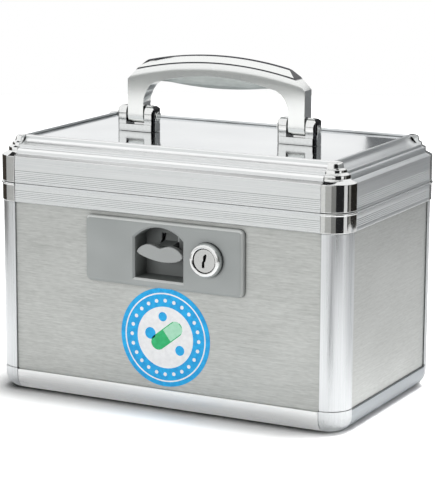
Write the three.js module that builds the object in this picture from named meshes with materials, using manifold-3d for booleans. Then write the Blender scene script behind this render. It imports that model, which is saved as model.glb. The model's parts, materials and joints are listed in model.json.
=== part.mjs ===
// Small lockable medicine case: an aluminium framed box with a hinged lid, a carry handle,
// a press-down snap latch and a cam lock. Millimetres, +Z up, the front faces -Y.
// The four rounded corners turn about upright corner axes. An offset, called w in the comments,
// is measured outwards from the lines that join those axes, so every rail, post and panel shares it.
import * as THREE from 'three';
import { mergeVertices } from 'three/addons/utils/BufferGeometryUtils.js';
import Module from 'manifold-3d';

const wasm = await Module();
wasm.setup();

// Case plan
const cornerAxisX = 97.9;
const cornerAxisY = 53.1;
const panelFace = 12.7;
const panelThickness = 3;
const postRadius = 13.9;
const railFace = 14.3;
const cornerFace = 14.55;
const cornerBeadFace = 15.1;

// Case heights
const lidCrest = 150.8;
const lidHeight = 26.7;
const lidBandHeight = 15.7;
const rimHeight = 11.3;
const partingGap = 0.3;
const bottomRailTop = 12.8;
const bottomRounding = 9.2;

// Clearances
const jointGap = 0.2;
const seatGap = 0.2;
const pivotGap = 0.12;
const cutOverrun = 2;

// Frame extrusions
const railWall = 1.4;
const cornerWall = 1.9;
const slotDepth = 3.2;
const postLip = 6;
const cornerOverlap = 0.3;
const capRise = 0.4;
const footLip = 3;
const footThickness = 1.2;
const floorPanelTab = 1;
const ribPitch = 1;
const ribDepth = 0.2;
const lidRibHeight = 6.4;
const bodyRibHeight = 5.2;
const bodyRibFoot = 2;
const rimLipHeight = 2.3;
const rimLipThickness = 1.3;
const beadGrooveDepth = 0.4;
const beadGrooveWidth = 0.3;
const beadHeight = 1;
const edgeRounding = 0.4;

// Lid moulding, from the band up to the crest
const ledgeRise = 1.4;
const ledgeInset = 3;
const lowerBeadWidth = 2.2;
const lowerBeadHeight = 3.1;
const upperBeadStep = 0.2;
const upperBeadWidth = 0.7;
const upperBeadHeight = 1.5;
const coveHeight = 3.5;
const crestWidth = 1.9;
const crestRounding = 1;
const lidPanelDrop = 1.5;
const lidPanelThickness = 2.5;
const lidPanelTab = 1;
const lidSlotDepth = 1.4;
const lidLip = 4;
const lidLipThickness = 1.2;

// Turned steps of the plated lid corners
const lowerRingRadius = 10.6;
const lowerRingHeight = 3.2;
const upperRingRadius = 8.4;
const upperRingHeight = 2.6;
const knobRadius = 6.4;
const knobRounding = 1.6;
const ringRounding = 0.7;

// Handle
const handleSpread = 52.6;
const pinRise = 9.3;
const legWidth = 10.4;
const handleThickness = 9.2;
const shoulderRise = 21.8;
const chamferWidth = 6.8;
const chamferHeight = 6.8;
const creaseArch = 6.1;
const crownInset = 5;
const crownRise = 4.9;
const crownArch = 5.1;
const gripHeight = 8.4;
const archInnerDrop = 4.7;
const archCornerRun = 11.4;
const archCornerDrop = 15;
const bellyDepth = 7.4;
const handlePinRadius = 1.8;
const handlePinHeadRadius = 2.7;
const handlePinHead = 0.7;

// Handle brackets
const legSideGap = 0.9;
const bracketDepth = 11;
const bracketBase = 4;
const bracketCornerRounding = 3.4;
const earWidth = 6.4;
const earDepth = 10;
const earHeight = 15.4;
const earCornerRounding = 4;
const bracketScrewRadius = 1.4;
const bracketScrewHeadRadius = 3;
const bracketScrewHead = 1.8;
const bracketScrewLength = 9;

// Latch housing
const housingLeft = -49.4;
const housingRight = 51.7;
const housingBelowRim = 2.4;
const housingHeight = 38.6;
const housingProud = 3;
const housingCorner = 3;
const housingBevelWidth = 2.8;
const housingBevelDepth = 2.2;
const latchX = -1.8;
const pocketHalfWidth = 15.5;
const pocketFoot = 5;
const pocketHeight = 30;
const pocketArchRise = 6.7;
const pocketDepth = 14.6;
const pocketWall = 1.5;
const pocketMouthBevel = 1.1;
const housingScrewInset = 6;
const housingBossRadius = 2.8;
const housingScrewRadius = 1.3;
const housingScrewHeadRadius = 3.8;
const housingScrewHead = 2;
const housingScrewLength = 4.6;

// Latch lever
const latchPivotBelowArch = 6.8;
const latchPivotBehindPocket = 5.2;
const latchPinRadius = 1.5;
const latchHubRadius = 3.4;
const leverWidth = 9;
const leverThickness = 3;
const padHalfWidth = 14.8;
const padHeight = 9.8;
const padBelowPivot = 13.1;
const padThickness = 3.6;
const padRecess = 1.6;
const padBevel = 0.7;
const neckHeight = 6;
const neckBelowPivot = 5.4;
const noseHeight = 3.4;
const noseReach = 3.2;
const noseBelowParting = 8.8;
const windowMargin = 1.2;
const windowBelowPivot = 13.8;
const lugThickness = 2.5;
const springZone = 4.8;
const springWire = 0.8;
const springRadius = 2.6;
const springTurns = 2.75;
const springLegLength = 10;

// Keeper plate on the lid
const keeperThickness = 1.5;
const keeperBehindNose = 1.2;
const keeperHookReach = 3.9;
const keeperHalfWidth = 7;
const keeperBandAboveParting = 2.9;
const keeperTongueLeft = 16.5;
const keeperTongueWidth = 6.5;
const keeperFlangeReach = 15;
const keeperStudRadius = 1.3;
const lockLedgeReach = 6.3;

// Cam lock
const lockX = 29.6;
const lockBelowTop = 18.6;
const bezelRadius = 10.2;
const bezelProud = 4.6;
const bezelCrownRadius = 7.9;
const plugFaceRadius = 7;
const plugRecess = 0.9;
const plugFaceDepth = 3;
const plugShankRadius = 5;
const barrelRadius = 7.8;
const barrelLength = 13;
const plugTailRadius = 3.2;
const plugTailFlat = 2.5;
const keywayWidth = 1.5;
const keywayHeight = 8;
const keywayDepth = 9;
const keywayWave = 0.7;
const nutAcrossFlats = 20;
const nutThickness = 3;
const camThickness = 1.5;
const camBehindPocket = 4.1;
const camHubRadius = 5.5;
const camWidth = 8;
const camLength = 20;
const camScrewRadius = 1.5;
const camScrewHeadRadius = 4;
const camScrewHead = 2;
const camScrewLength = 5;

// Rear hinges
const hingeSpread = 62;
const hingeWidth = 36;
const hingeKnuckle = 12;
const hingeLeafThickness = 1.2;
const hingeBarrelRadius = 2.8;
const hingePinRadius = 1.2;
const hingeAxisBehind = 3.3;
const bodyLeafHeight = 7;
const lidLeafHeight = 10;
const hingeRivetRadius = 1.9;
const hingeRivetRise = 0.7;
const hingeRivetShare = 0.3;

// Facet counts
const turnPieces = 24;
const arcPieces = 6;
const smallArcPieces = 3;
const rodPieces = 16;
const wirePieces = 6;
const wireStepsPerPoint = 1.5;
const coilPieces = 10;

// Rounded finger pad as shares of its half width and height, clockwise from its left end
const padOutlineShares = [
  [-1, 0.5],
  [-0.86, 0.78],
  [-0.5, 1],
  [-0.17, 0.89],
  [0, 0.8],
  [0.16, 0.88],
  [0.48, 0.97],
  [0.84, 0.74],
  [1, 0.42],
  [0.84, 0.15],
  [0.36, 0],
  [-0.14, 0.03],
  [-0.6, 0.18],
  [-0.9, 0.35],
];

const partingHeight = lidCrest - lidHeight;
const bandTop = partingHeight + lidBandHeight;
const rimBottom = partingHeight - rimHeight;
const housingTop = rimBottom - housingBelowRim;
const housingBottom = housingTop - housingHeight;
const pocketBottom = housingBottom + pocketFoot;
const pocketArch = pocketBottom + pocketHeight;
const latchPivotHeight = pocketArch - latchPivotBelowArch;
const noseBottom = partingHeight - noseBelowParting;
const lockHeight = housingTop - lockBelowTop;
const halfThickness = handleThickness / 2;
const panelBack = panelFace - panelThickness;
const frontPanelFace = -(cornerAxisY + panelFace);
const frontPanelBack = frontPanelFace + panelThickness;
const housingFace = frontPanelFace - housingProud;
const pocketFloorY = housingFace + pocketDepth;
const pocketBackY = pocketFloorY + pocketWall;
const pivotY = pocketBackY + latchPivotBehindPocket;
const lidPanelTop = lidCrest - lidPanelDrop;
const lidPanelBottom = lidPanelTop - lidPanelThickness;
const lidLipTop = lidPanelBottom - partingGap;
const lidLipBottom = lidLipTop - lidLipThickness;
const pinHeight = lidPanelTop + pinRise;
const bracketWidth = legWidth + 2 * (earWidth + legSideGap);
const lidBottom = partingHeight + partingGap / 2;
const bodyTop = partingHeight - partingGap / 2;
const capTop = bottomRailTop + capRise;
const hingeAxisY = cornerAxisY + railFace + hingeAxisBehind;

const sides = [
  { name: 'front', run: cornerAxisX, offset: cornerAxisY, quarter: 0 },
  { name: 'right', run: cornerAxisY, offset: cornerAxisX, quarter: 1 },
  { name: 'back', run: cornerAxisX, offset: cornerAxisY, quarter: 2 },
  { name: 'left', run: cornerAxisY, offset: cornerAxisX, quarter: 3 },
];

const corners = [
  { name: 'back_right', x: 1, y: 1, quarter: 0 },
  { name: 'back_left', x: -1, y: 1, quarter: 1 },
  { name: 'front_left', x: -1, y: -1, quarter: 2 },
  { name: 'front_right', x: 1, y: -1, quarter: 3 },
];

const finish = (color, metalness, roughness) => new THREE.MeshStandardMaterial({ color, metalness, roughness });

const materials = {
  brushedPanel: finish('#bdbfbb', 0.6, 0.45),
  anodisedFrame: finish('#d4d7d8', 0.8, 0.35),
  chrome: finish('#e6e8ea', 1, 0.08),
  lidPanel: finish('#e0e4e6', 0.1, 0.15),
  handlePlastic: finish('#c9cbcc', 0.4, 0.3),
  housingPlastic: finish('#a0a4a3', 0, 0.45),
  steel: finish('#a9adb0', 1, 0.35),
};

// Closed solids and their joins and cuts
function solidOf(geometry) {
  const bare = geometry.clone();
  bare.deleteAttribute('normal');
  bare.deleteAttribute('uv');
  const merged = mergeVertices(bare);
  const index = merged.index.array;
  const triangles = [];
  for (let i = 0; i < index.length; i += 3) {
    const [a, b, c] = [index[i], index[i + 1], index[i + 2]];
    if (a !== b && b !== c && c !== a) triangles.push(a, b, c);
  }
  const vertProperties = Float32Array.from(merged.attributes.position.array);
  const triVerts = Uint32Array.from(triangles);
  return new wasm.Manifold(new wasm.Mesh({ numProp: 3, vertProperties, triVerts }));
}

function geometryOf(solid) {
  const mesh = solid.getMesh();
  const geometry = new THREE.BufferGeometry();
  geometry.setAttribute('position', new THREE.BufferAttribute(mesh.vertProperties, 3));
  geometry.setIndex(new THREE.BufferAttribute(mesh.triVerts, 1));
  geometry.computeVertexNormals();
  return geometry;
}

const join = (...parts) => parts.reduce((whole, part) => whole.add(part));
const cut = (whole, ...tools) => tools.reduce((rest, tool) => rest.subtract(tool), whole);

// Outlines
const outline = (points) => new THREE.Shape(points.map(([u, v]) => new THREE.Vector2(u, v)));

function arc([centreU, centreV], [radiusU, radiusV], from, to, pieces = smallArcPieces) {
  const points = [];
  for (let i = 0; i <= pieces; i += 1) {
    const angle = THREE.MathUtils.degToRad(from + ((to - from) * i) / pieces);
    points.push([centreU + radiusU * Math.cos(angle), centreV + radiusV * Math.sin(angle)]);
  }
  return points;
}

function roundedRectangle(left, right, bottom, top, radius, pieces = smallArcPieces) {
  const radii = [radius, radius];
  return outline([
    ...arc([right - radius, bottom + radius], radii, -90, 0, pieces),
    ...arc([right - radius, top - radius], radii, 0, 90, pieces),
    ...arc([left + radius, top - radius], radii, 90, 180, pieces),
    ...arc([left + radius, bottom + radius], radii, 180, 270, pieces),
  ]);
}

// Extrusions: a side profile runs along X, a front plate along Y and a plan plate along Z
const profileBasis = new THREE.Matrix4().makeBasis(
  new THREE.Vector3(0, 1, 0),
  new THREE.Vector3(0, 0, 1),
  new THREE.Vector3(1, 0, 0),
);
const plateBasis = new THREE.Matrix4().makeBasis(
  new THREE.Vector3(1, 0, 0),
  new THREE.Vector3(0, 0, 1),
  new THREE.Vector3(0, -1, 0),
);
const railBasis = new THREE.Matrix4().makeBasis(
  new THREE.Vector3(0, -1, 0),
  new THREE.Vector3(0, 0, 1),
  new THREE.Vector3(-1, 0, 0),
);

function extrude(shape, depth, bevel = 0, bevelDepth = bevel) {
  return new THREE.ExtrudeGeometry(shape, {
    depth,
    bevelEnabled: bevel > 0,
    bevelSize: bevel,
    bevelOffset: -bevel,
    bevelThickness: bevelDepth,
    bevelSegments: smallArcPieces,
    curveSegments: arcPieces,
  });
}

function sideProfile(shape, left, right, bevel = 0) {
  const geometry = extrude(shape, right - left - 2 * bevel, bevel);
  return solidOf(geometry.applyMatrix4(profileBasis).translate(left + bevel, 0, 0));
}

function frontPlate(shape, backY, frontY) {
  const geometry = extrude(shape, backY - frontY);
  return solidOf(geometry.applyMatrix4(plateBasis).translate(0, backY, 0));
}

function planPlate(shape, bottom, top) {
  return solidOf(extrude(shape, top - bottom).translate(0, 0, bottom));
}

function block(left, right, frontY, backY, bottom, top) {
  const geometry = new THREE.BoxGeometry(right - left, backY - frontY, top - bottom);
  return solidOf(geometry.translate((left + right) / 2, (frontY + backY) / 2, (bottom + top) / 2));
}

function rodAlongX(radius, left, right, y, z, pieces = rodPieces) {
  const geometry = new THREE.CylinderGeometry(radius, radius, right - left, pieces);
  return solidOf(geometry.rotateZ(Math.PI / 2).translate((left + right) / 2, y, z));
}

function rodAlongY(radius, frontY, backY, x, z, pieces = rodPieces) {
  const geometry = new THREE.CylinderGeometry(radius, radius, backY - frontY, pieces);
  return solidOf(geometry.translate(x, (frontY + backY) / 2, z));
}

function rodAlongZ(radius, bottom, top, x, y, pieces = rodPieces) {
  const geometry = new THREE.CylinderGeometry(radius, radius, top - bottom, pieces);
  return solidOf(geometry.rotateX(Math.PI / 2).translate(x, y, (bottom + top) / 2));
}

// A turned piece about the Y axis through x and z, from a profile of [radius, y] pairs
function turnedAlongY(profile, x, z) {
  const points = profile.map(([radius, y]) => new THREE.Vector2(radius, y));
  return solidOf(new THREE.LatheGeometry(points, turnPieces).translate(x, 0, z));
}

// Adds a named mesh to a group
function place(group, name, solid, material, corner) {
  const mesh = new THREE.Mesh(geometryOf(solid), material);
  mesh.name = name;
  if (corner) {
    mesh.position.set(corner.x * cornerAxisX, corner.y * cornerAxisY, 0);
    mesh.rotation.z = (corner.quarter * Math.PI) / 2;
  }
  group.add(mesh);
  return mesh;
}

// A straight rail of one side, with the flanges that reach inwards mitred at both ends
function railSolid(profile, side) {
  const half = side.run - cornerOverlap - jointGap;
  const reach = side.offset / 2;
  const bar = solidOf(
    extrude(outline(profile), 2 * side.run).translate(0, 0, -side.run).applyMatrix4(railBasis)
      .translate(0, -side.offset, 0),
  );
  const mitre = outline([
    [-half, -side.offset - reach],
    [half, -side.offset - reach],
    [half, -side.offset],
    [half - reach, -side.offset + reach],
    [-half + reach, -side.offset + reach],
    [-half, -side.offset],
  ]);
  return bar.intersect(planPlate(mitre, -cutOverrun, lidCrest + cutOverrun));
}

function placeRail(group, name, solid, material, side) {
  const mesh = place(group, name, solid, material);
  mesh.rotation.z = (side.quarter * Math.PI) / 2;
  return mesh;
}

// A corner piece: a turned profile of [radius, height] pairs, kept over one quarter
function cornerSolid(profile) {
  const points = profile.map(([radius, height]) => new THREE.Vector2(radius, height));
  const turned = solidOf(new THREE.LatheGeometry(points, turnPieces).rotateX(Math.PI / 2));
  const reach = 2 * cornerBeadFace;
  const quarter = block(-cornerOverlap, reach, -cornerOverlap, reach, -cutOverrun, lidCrest + cutOverrun);
  return turned.intersect(quarter);
}

// Fine lengthwise ribs rolled into a rail's outer face, going up
function ribs(face, bottom, height) {
  const count = Math.round(height / ribPitch);
  const pitch = height / count;
  const points = [];
  for (let i = 0; i < count; i += 1) {
    points.push([face, bottom + i * pitch]);
    points.push([face - ribDepth, bottom + (i + 1 / 2) * pitch]);
  }
  points.push([face, bottom + height]);
  return points;
}

// Bottom rail: a rounded foot with slots for the wall panel and the floor panel
function bottomRailProfile() {
  const arcCentre = [postRadius - bottomRounding, bottomRounding];
  const slotOuter = panelFace + seatGap;
  const slotInner = panelBack - seatGap;
  const slotFloor = bottomRailTop - slotDepth;
  const floorSlot = floorPanelTab + jointGap;
  const floorSlotTop = footThickness + panelThickness + 2 * seatGap;
  const lipTop = floorSlotTop + footThickness;
  return [
    ...arc(arcCentre, [bottomRounding, bottomRounding], 0, -90, arcPieces).reverse(),
    [postRadius, bottomRailTop - edgeRounding],
    [postRadius - edgeRounding, bottomRailTop],
    [slotOuter, bottomRailTop],
    [slotOuter, slotFloor],
    [slotInner, slotFloor],
    [slotInner, bottomRailTop],
    [slotInner - railWall, bottomRailTop],
    [slotInner - railWall, slotFloor - railWall],
    [floorSlot + railWall, lipTop],
    [-footLip, lipTop],
    [-footLip, floorSlotTop],
    [floorSlot, floorSlotTop],
    [floorSlot, footThickness],
    [-footLip, footThickness],
    [-footLip, 0],
  ];
}

function bottomCapProfile() {
  const centre = [postRadius - bottomRounding, bottomRounding];
  const inner = bottomRounding - cornerWall;
  return [
    [0, 0],
    ...arc(centre, [bottomRounding, bottomRounding], -90, 0, arcPieces),
    [postRadius, capTop],
    [postRadius - cornerWall, capTop],
    ...arc(centre, [inner, bottomRounding - footThickness], 0, -90, arcPieces),
    [0, footThickness],
  ];
}

// Corner post: a quarter round skin with a slot for each panel and a lip behind it
function postOutline() {
  const slotOuter = panelFace + seatGap;
  const slotInner = panelBack - seatGap;
  const innerWall = slotInner - railWall;
  return outline([
    ...arc([0, 0], [postRadius, postRadius], 90, 0, arcPieces),
    [slotOuter, 0],
    [slotOuter, slotDepth],
    [slotInner, slotDepth],
    [slotInner, -postLip],
    [innerWall, -postLip],
    [innerWall, innerWall],
    [-postLip, innerWall],
    [-postLip, slotInner],
    [slotDepth, slotInner],
    [slotDepth, slotOuter],
    [0, slotOuter],
  ]);
}

// Rim rail of the body: ribbed band, bead under the parting line, and a lip that centres the lid
function rimRailProfile(hasLip) {
  const slotOuter = panelFace + seatGap;
  const slotInner = panelBack - seatGap;
  const innerWall = slotInner - railWall;
  const grooveTop = bodyTop - beadHeight;
  const lip = [
    [innerWall + rimLipThickness, bodyTop],
    [innerWall + rimLipThickness, bodyTop + rimLipHeight],
    [innerWall, bodyTop + rimLipHeight],
  ];
  return [
    [railFace - edgeRounding, rimBottom],
    [railFace, rimBottom + edgeRounding],
    ...ribs(railFace, rimBottom + bodyRibFoot, bodyRibHeight),
    [railFace, grooveTop - beadGrooveWidth],
    [railFace - beadGrooveDepth, grooveTop - beadGrooveWidth],
    [railFace - beadGrooveDepth, grooveTop],
    [railFace, grooveTop],
    [railFace, bodyTop],
    ...(hasLip ? lip : [[innerWall, bodyTop]]),
    [innerWall, rimBottom],
    [slotInner, rimBottom],
    [slotInner, rimBottom + slotDepth],
    [slotOuter, rimBottom + slotDepth],
    [slotOuter, rimBottom],
  ];
}

function bodyCornerProfile() {
  const inner = cornerFace - cornerWall;
  const beadFoot = bodyTop - beadHeight;
  return [
    [cornerFace - edgeRounding, rimBottom],
    [cornerFace, rimBottom + edgeRounding],
    [cornerFace, beadFoot - beadGrooveWidth],
    [cornerBeadFace, beadFoot],
    [cornerBeadFace, bodyTop - beadGrooveWidth],
    [cornerBeadFace - beadGrooveWidth, bodyTop],
    [inner, bodyTop],
    [inner, rimBottom],
    [cornerFace - edgeRounding, rimBottom],
  ];
}

// Lid rail: ribbed band, ledge, two beads, a cove and a crest that laps over the lid panel
function lidRailProfile() {
  const ledgeEnd = railFace - ledgeInset;
  const ledgeHeight = bandTop + ledgeRise;
  const lowerBeadTop = ledgeHeight + lowerBeadHeight;
  const lowerBeadEnd = ledgeEnd - lowerBeadWidth;
  const upperBeadFoot = lowerBeadTop + upperBeadStep;
  const upperBeadEnd = lowerBeadEnd - upperBeadStep - upperBeadWidth;
  const coveFoot = upperBeadFoot + upperBeadHeight;
  const coveTop = coveFoot + coveHeight;
  const skirtInner = railFace - 2 * railWall - railWall - edgeRounding;
  return [
    [railFace, lidBottom],
    ...ribs(railFace, lidBottom + ribPitch, lidRibHeight),
    ...arc([railFace - edgeRounding, bandTop - edgeRounding], [edgeRounding, edgeRounding], 0, 90),
    ...arc([lowerBeadEnd, ledgeHeight], [lowerBeadWidth, lowerBeadHeight], 0, 90),
    ...arc([upperBeadEnd, upperBeadFoot], [upperBeadWidth, upperBeadHeight], 0, 90),
    ...arc([upperBeadEnd, coveTop], [upperBeadEnd - crestWidth, coveHeight], 270, 180, arcPieces).slice(1),
    ...arc([crestWidth - crestRounding, coveTop], [crestRounding, lidCrest - coveTop], 0, 90).slice(1),
    [edgeRounding / 2, lidCrest],
    [0, lidCrest - edgeRounding],
    [0, lidPanelTop + partingGap],
    [lidSlotDepth, lidPanelTop + partingGap],
    [lidSlotDepth, lidLipTop],
    [-lidLip, lidLipTop],
    [-lidLip, lidLipBottom],
    [lowerBeadEnd - railWall, lidLipBottom],
    [ledgeEnd - 2 * railWall + upperBeadWidth, ledgeHeight],
    [railFace - railWall, bandTop - railWall],
    [railFace - railWall, lidBottom + railWall],
    [skirtInner, lidBottom + railWall],
    [skirtInner, lidBottom],
  ];
}

// Plated lid corner: turned steps that follow the moulding, hollow below
function lidCornerProfile() {
  const inner = cornerFace - cornerWall;
  const ledgeHeight = bandTop + ledgeRise;
  const lowerRingTop = ledgeHeight + lowerRingHeight;
  const upperRingTop = lowerRingTop + upperRingHeight;
  const lowerLedge = lowerRingTop + ringRounding;
  const underside = lidPanelTop + partingGap;
  const knobShoulder = lidCrest - knobRounding;
  const rings = [ringRounding, ringRounding];
  return [
    [cornerFace - edgeRounding, lidBottom],
    [cornerFace, lidBottom + edgeRounding],
    ...arc([cornerFace - edgeRounding, bandTop - edgeRounding], [edgeRounding, edgeRounding], 0, 90),
    [lowerRingRadius + ringRounding, ledgeHeight],
    [lowerRingRadius, ledgeHeight + ringRounding],
    ...arc([lowerRingRadius - ringRounding, lowerRingTop - ringRounding], rings, 0, 90),
    [upperRingRadius, lowerLedge],
    ...arc([upperRingRadius - ringRounding, upperRingTop - ringRounding], rings, 0, 90),
    [knobRadius + edgeRounding, upperRingTop + edgeRounding],
    [knobRadius, knobShoulder],
    ...arc([knobRadius - knobRounding, knobShoulder], [knobRounding, knobRounding], 0, 90).slice(1),
    [0, lidCrest],
    [0, underside],
    [knobRadius - 2 * cornerWall, underside],
    [upperRingRadius - cornerWall, upperRingTop - cornerWall],
    [lowerRingRadius - cornerWall, ledgeHeight + cornerWall],
    [inner, bandTop - cornerWall],
    [inner, lidBottom],
    [cornerFace - edgeRounding, lidBottom],
  ];
}

// Wall panel in the front side's frame. Its tabs reach into the posts between the corner pieces.
function wallPanelSolid(side, holes = []) {
  const middle = side.run - cornerOverlap - 2 * jointGap;
  const edge = side.run + slotDepth - seatGap;
  const foot = bottomRailTop - slotDepth + seatGap;
  const head = rimBottom + slotDepth - seatGap;
  const tabBottom = capTop + 2 * jointGap;
  const tabTop = rimBottom - 2 * jointGap;
  const shape = outline([
    [-middle, foot],
    [middle, foot],
    [middle, tabBottom],
    [edge, tabBottom],
    [edge, tabTop],
    [middle, tabTop],
    [middle, head],
    [-middle, head],
    [-middle, tabTop],
    [-edge, tabTop],
    [-edge, tabBottom],
    [-middle, tabBottom],
  ]);
  const plate = frontPlate(shape, -(side.offset + panelBack), -(side.offset + panelFace));
  return cut(plate, ...holes);
}

function buildCase(group) {
  for (const side of sides) {
    const holes = side.name === 'front' ? frontPanelHoles() : [];
    placeRail(group, `${side.name}_panel`, wallPanelSolid(side, holes), materials.brushedPanel, side);
    const foot = railSolid(bottomRailProfile(), side);
    placeRail(group, `bottom_rail_${side.name}`, foot, materials.anodisedFrame, side);
    const rim = railSolid(rimRailProfile(side.name !== 'back'), side);
    placeRail(group, `rim_rail_${side.name}`, rim, materials.anodisedFrame, side);
  }
  for (const corner of corners) {
    const post = planPlate(postOutline(), capTop + jointGap, rimBottom - jointGap);
    place(group, `post_${corner.name}`, post, materials.anodisedFrame, corner);
    place(group, `bottom_cap_${corner.name}`, cornerSolid(bottomCapProfile()), materials.anodisedFrame, corner);
    place(group, `rim_corner_${corner.name}`, cornerSolid(bodyCornerProfile()), materials.chrome, corner);
  }
  const floorX = cornerAxisX + floorPanelTab;
  const floorY = cornerAxisY + floorPanelTab;
  const floorBottom = footThickness + seatGap;
  const floor = block(-floorX, floorX, -floorY, floorY, floorBottom, floorBottom + panelThickness);
  place(group, 'bottom_panel', floor, materials.brushedPanel);
}

// Latch pocket outline: square foot and a segmental arch, grown by a margin
function pocketOutline(margin = 0) {
  const half = pocketHalfWidth + margin;
  const rise = pocketArchRise;
  const radius = (pocketHalfWidth ** 2 + rise ** 2) / (2 * rise) + margin;
  const centreHeight = pocketArch + margin - radius;
  const spread = THREE.MathUtils.radToDeg(Math.asin(half / radius));
  return outline([
    [latchX - half, pocketBottom - margin],
    [latchX + half, pocketBottom - margin],
    ...arc([latchX, centreHeight], [radius, radius], 90 - spread, 90 + spread, 2 * arcPieces),
  ]);
}

const housingScrewHeight = (housingBottom + housingTop) / 2;
const housingScrewX = housingLeft + housingScrewInset;

function frontPanelHoles() {
  const back = frontPanelBack + cutOverrun;
  const front = frontPanelFace - cutOverrun;
  return [
    frontPlate(pocketOutline(pocketWall + seatGap), back, front),
    rodAlongY(barrelRadius + seatGap, front, back, lockX, lockHeight, turnPieces),
    rodAlongY(housingBossRadius + seatGap, front, back, housingScrewX, housingScrewHeight),
  ];
}

// Moulded latch housing: bevelled plate, finger pocket, pivot lugs and screw bosses in one piece
function buildHousing(group) {
  const seat = frontPanelFace - seatGap;
  const shape = roundedRectangle(housingLeft, housingRight, housingBottom, housingTop, housingCorner);
  const edge = housingProud - seatGap - housingBevelDepth;
  const flange = extrude(shape, edge, housingBevelWidth, housingBevelDepth);
  const plateSolid = solidOf(flange.applyMatrix4(plateBasis).translate(0, seat, 0));
  const plate = plateSolid.intersect(
    block(housingLeft - cutOverrun, housingRight + cutOverrun, housingFace, seat, 0, lidCrest),
  );
  const pocketBox = frontPlate(pocketOutline(pocketWall), pocketBackY, seat - seatGap);
  const pocketCut = frontPlate(pocketOutline(), pocketFloorY, housingFace - cutOverrun);
  const mouth = new THREE.ExtrudeGeometry(pocketOutline(), {
    depth: cutOverrun,
    bevelSize: pocketMouthBevel,
    bevelThickness: pocketMouthBevel,
    bevelSegments: 1,
  });
  const mouthCut = solidOf(mouth.applyMatrix4(plateBasis).translate(0, housingFace, 0));
  const halfLever = leverWidth / 2;
  const window = block(
    latchX - halfLever - windowMargin,
    latchX + halfLever + windowMargin,
    pocketFloorY - cutOverrun,
    pocketBackY + cutOverrun,
    latchPivotHeight - windowBelowPivot,
    latchPivotHeight + windowMargin,
  );
  const springSlot = block(
    latchX - halfLever - 2 * springWire - jointGap,
    latchX,
    pocketFloorY - cutOverrun,
    pocketBackY + cutOverrun,
    latchPivotHeight - windowBelowPivot,
    latchPivotHeight - springRadius - springWire,
  );
  const lugReach = latchHubRadius;
  const lugShape = outline([
    [pocketFloorY + seatGap, latchPivotHeight - lugReach],
    ...arc([pivotY, latchPivotHeight], [lugReach, lugReach], -90, 90, arcPieces),
    [pocketFloorY + seatGap, latchPivotHeight + lugReach],
  ]);
  const rightLugStart = latchX + halfLever + jointGap + pivotGap;
  const leftLugEnd = latchX - halfLever - springZone;
  const lugs = [
    sideProfile(lugShape, rightLugStart, rightLugStart + lugThickness),
    sideProfile(lugShape, leftLugEnd - lugThickness, leftLugEnd),
  ];
  const pinHole = rodAlongX(latchPinRadius + pivotGap, housingLeft, housingRight, pivotY, latchPivotHeight);
  const bossEnd = frontPanelBack - seatGap - jointGap;
  const boss = rodAlongY(housingBossRadius, seat - seatGap, bossEnd, housingScrewX, housingScrewHeight);
  const screwHole = rodAlongY(
    housingScrewRadius + pivotGap,
    frontPanelBack - housingScrewLength - seatGap,
    frontPanelBack,
    housingScrewX,
    housingScrewHeight,
  );
  const lockHole = rodAlongY(
    barrelRadius + seatGap,
    housingFace - cutOverrun,
    frontPanelBack,
    lockX,
    lockHeight,
    turnPieces,
  );
  const shell = cut(
    join(plate, pocketBox, boss),
    pocketCut,
    mouthCut,
    window,
    springSlot,
    lockHole,
    screwHole,
  );
  const housing = cut(join(shell, ...lugs), pinHole);
  place(group, 'latch_housing', housing, materials.housingPlastic);
  const headFront = frontPanelBack + seatGap;
  const headBack = headFront + housingScrewHead;
  const tip = headFront - housingScrewLength;
  const screw = join(
    rodAlongY(housingScrewHeadRadius, headFront, headBack, housingScrewX, housingScrewHeight),
    rodAlongY(housingScrewRadius, tip, headFront + jointGap, housingScrewX, housingScrewHeight),
  );
  place(group, 'housing_screw', screw, materials.steel);
  const pinLeft = leftLugEnd - lugThickness - jointGap;
  const pinRight = rightLugStart + lugThickness + jointGap;
  const pin = rodAlongX(latchPinRadius, pinLeft, pinRight, pivotY, latchPivotHeight);
  place(group, 'latch_pin', pin, materials.steel);
}

// Finger pad outline: two humps with a dip between them over a bowed foot
function padOutline() {
  const padBottom = latchPivotHeight - padBelowPivot;
  const points = padOutlineShares.map(([across, up]) => new THREE.Vector3(
    latchX + across * padHalfWidth,
    padBottom + up * padHeight,
    0,
  ));
  const curve = new THREE.CatmullRomCurve3(points, true, 'centripetal');
  return outline(curve.getPoints(4 * arcPieces).slice(1).map((point) => [point.x, point.y]));
}

const padFront = housingFace + padRecess;
const padBack = padFront + padThickness;
const neckTop = latchPivotHeight - neckBelowPivot;
const neckStart = [padBack - padBevel, neckTop - neckHeight];
const neckEnd = [pivotY - latchHubRadius, latchPivotHeight - latchHubRadius - neckHeight / 2];

function neckUnderside(y) {
  const share = (y - neckStart[0]) / (neckEnd[0] - neckStart[0]);
  return THREE.MathUtils.lerp(neckStart[1], neckEnd[1], share);
}

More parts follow.
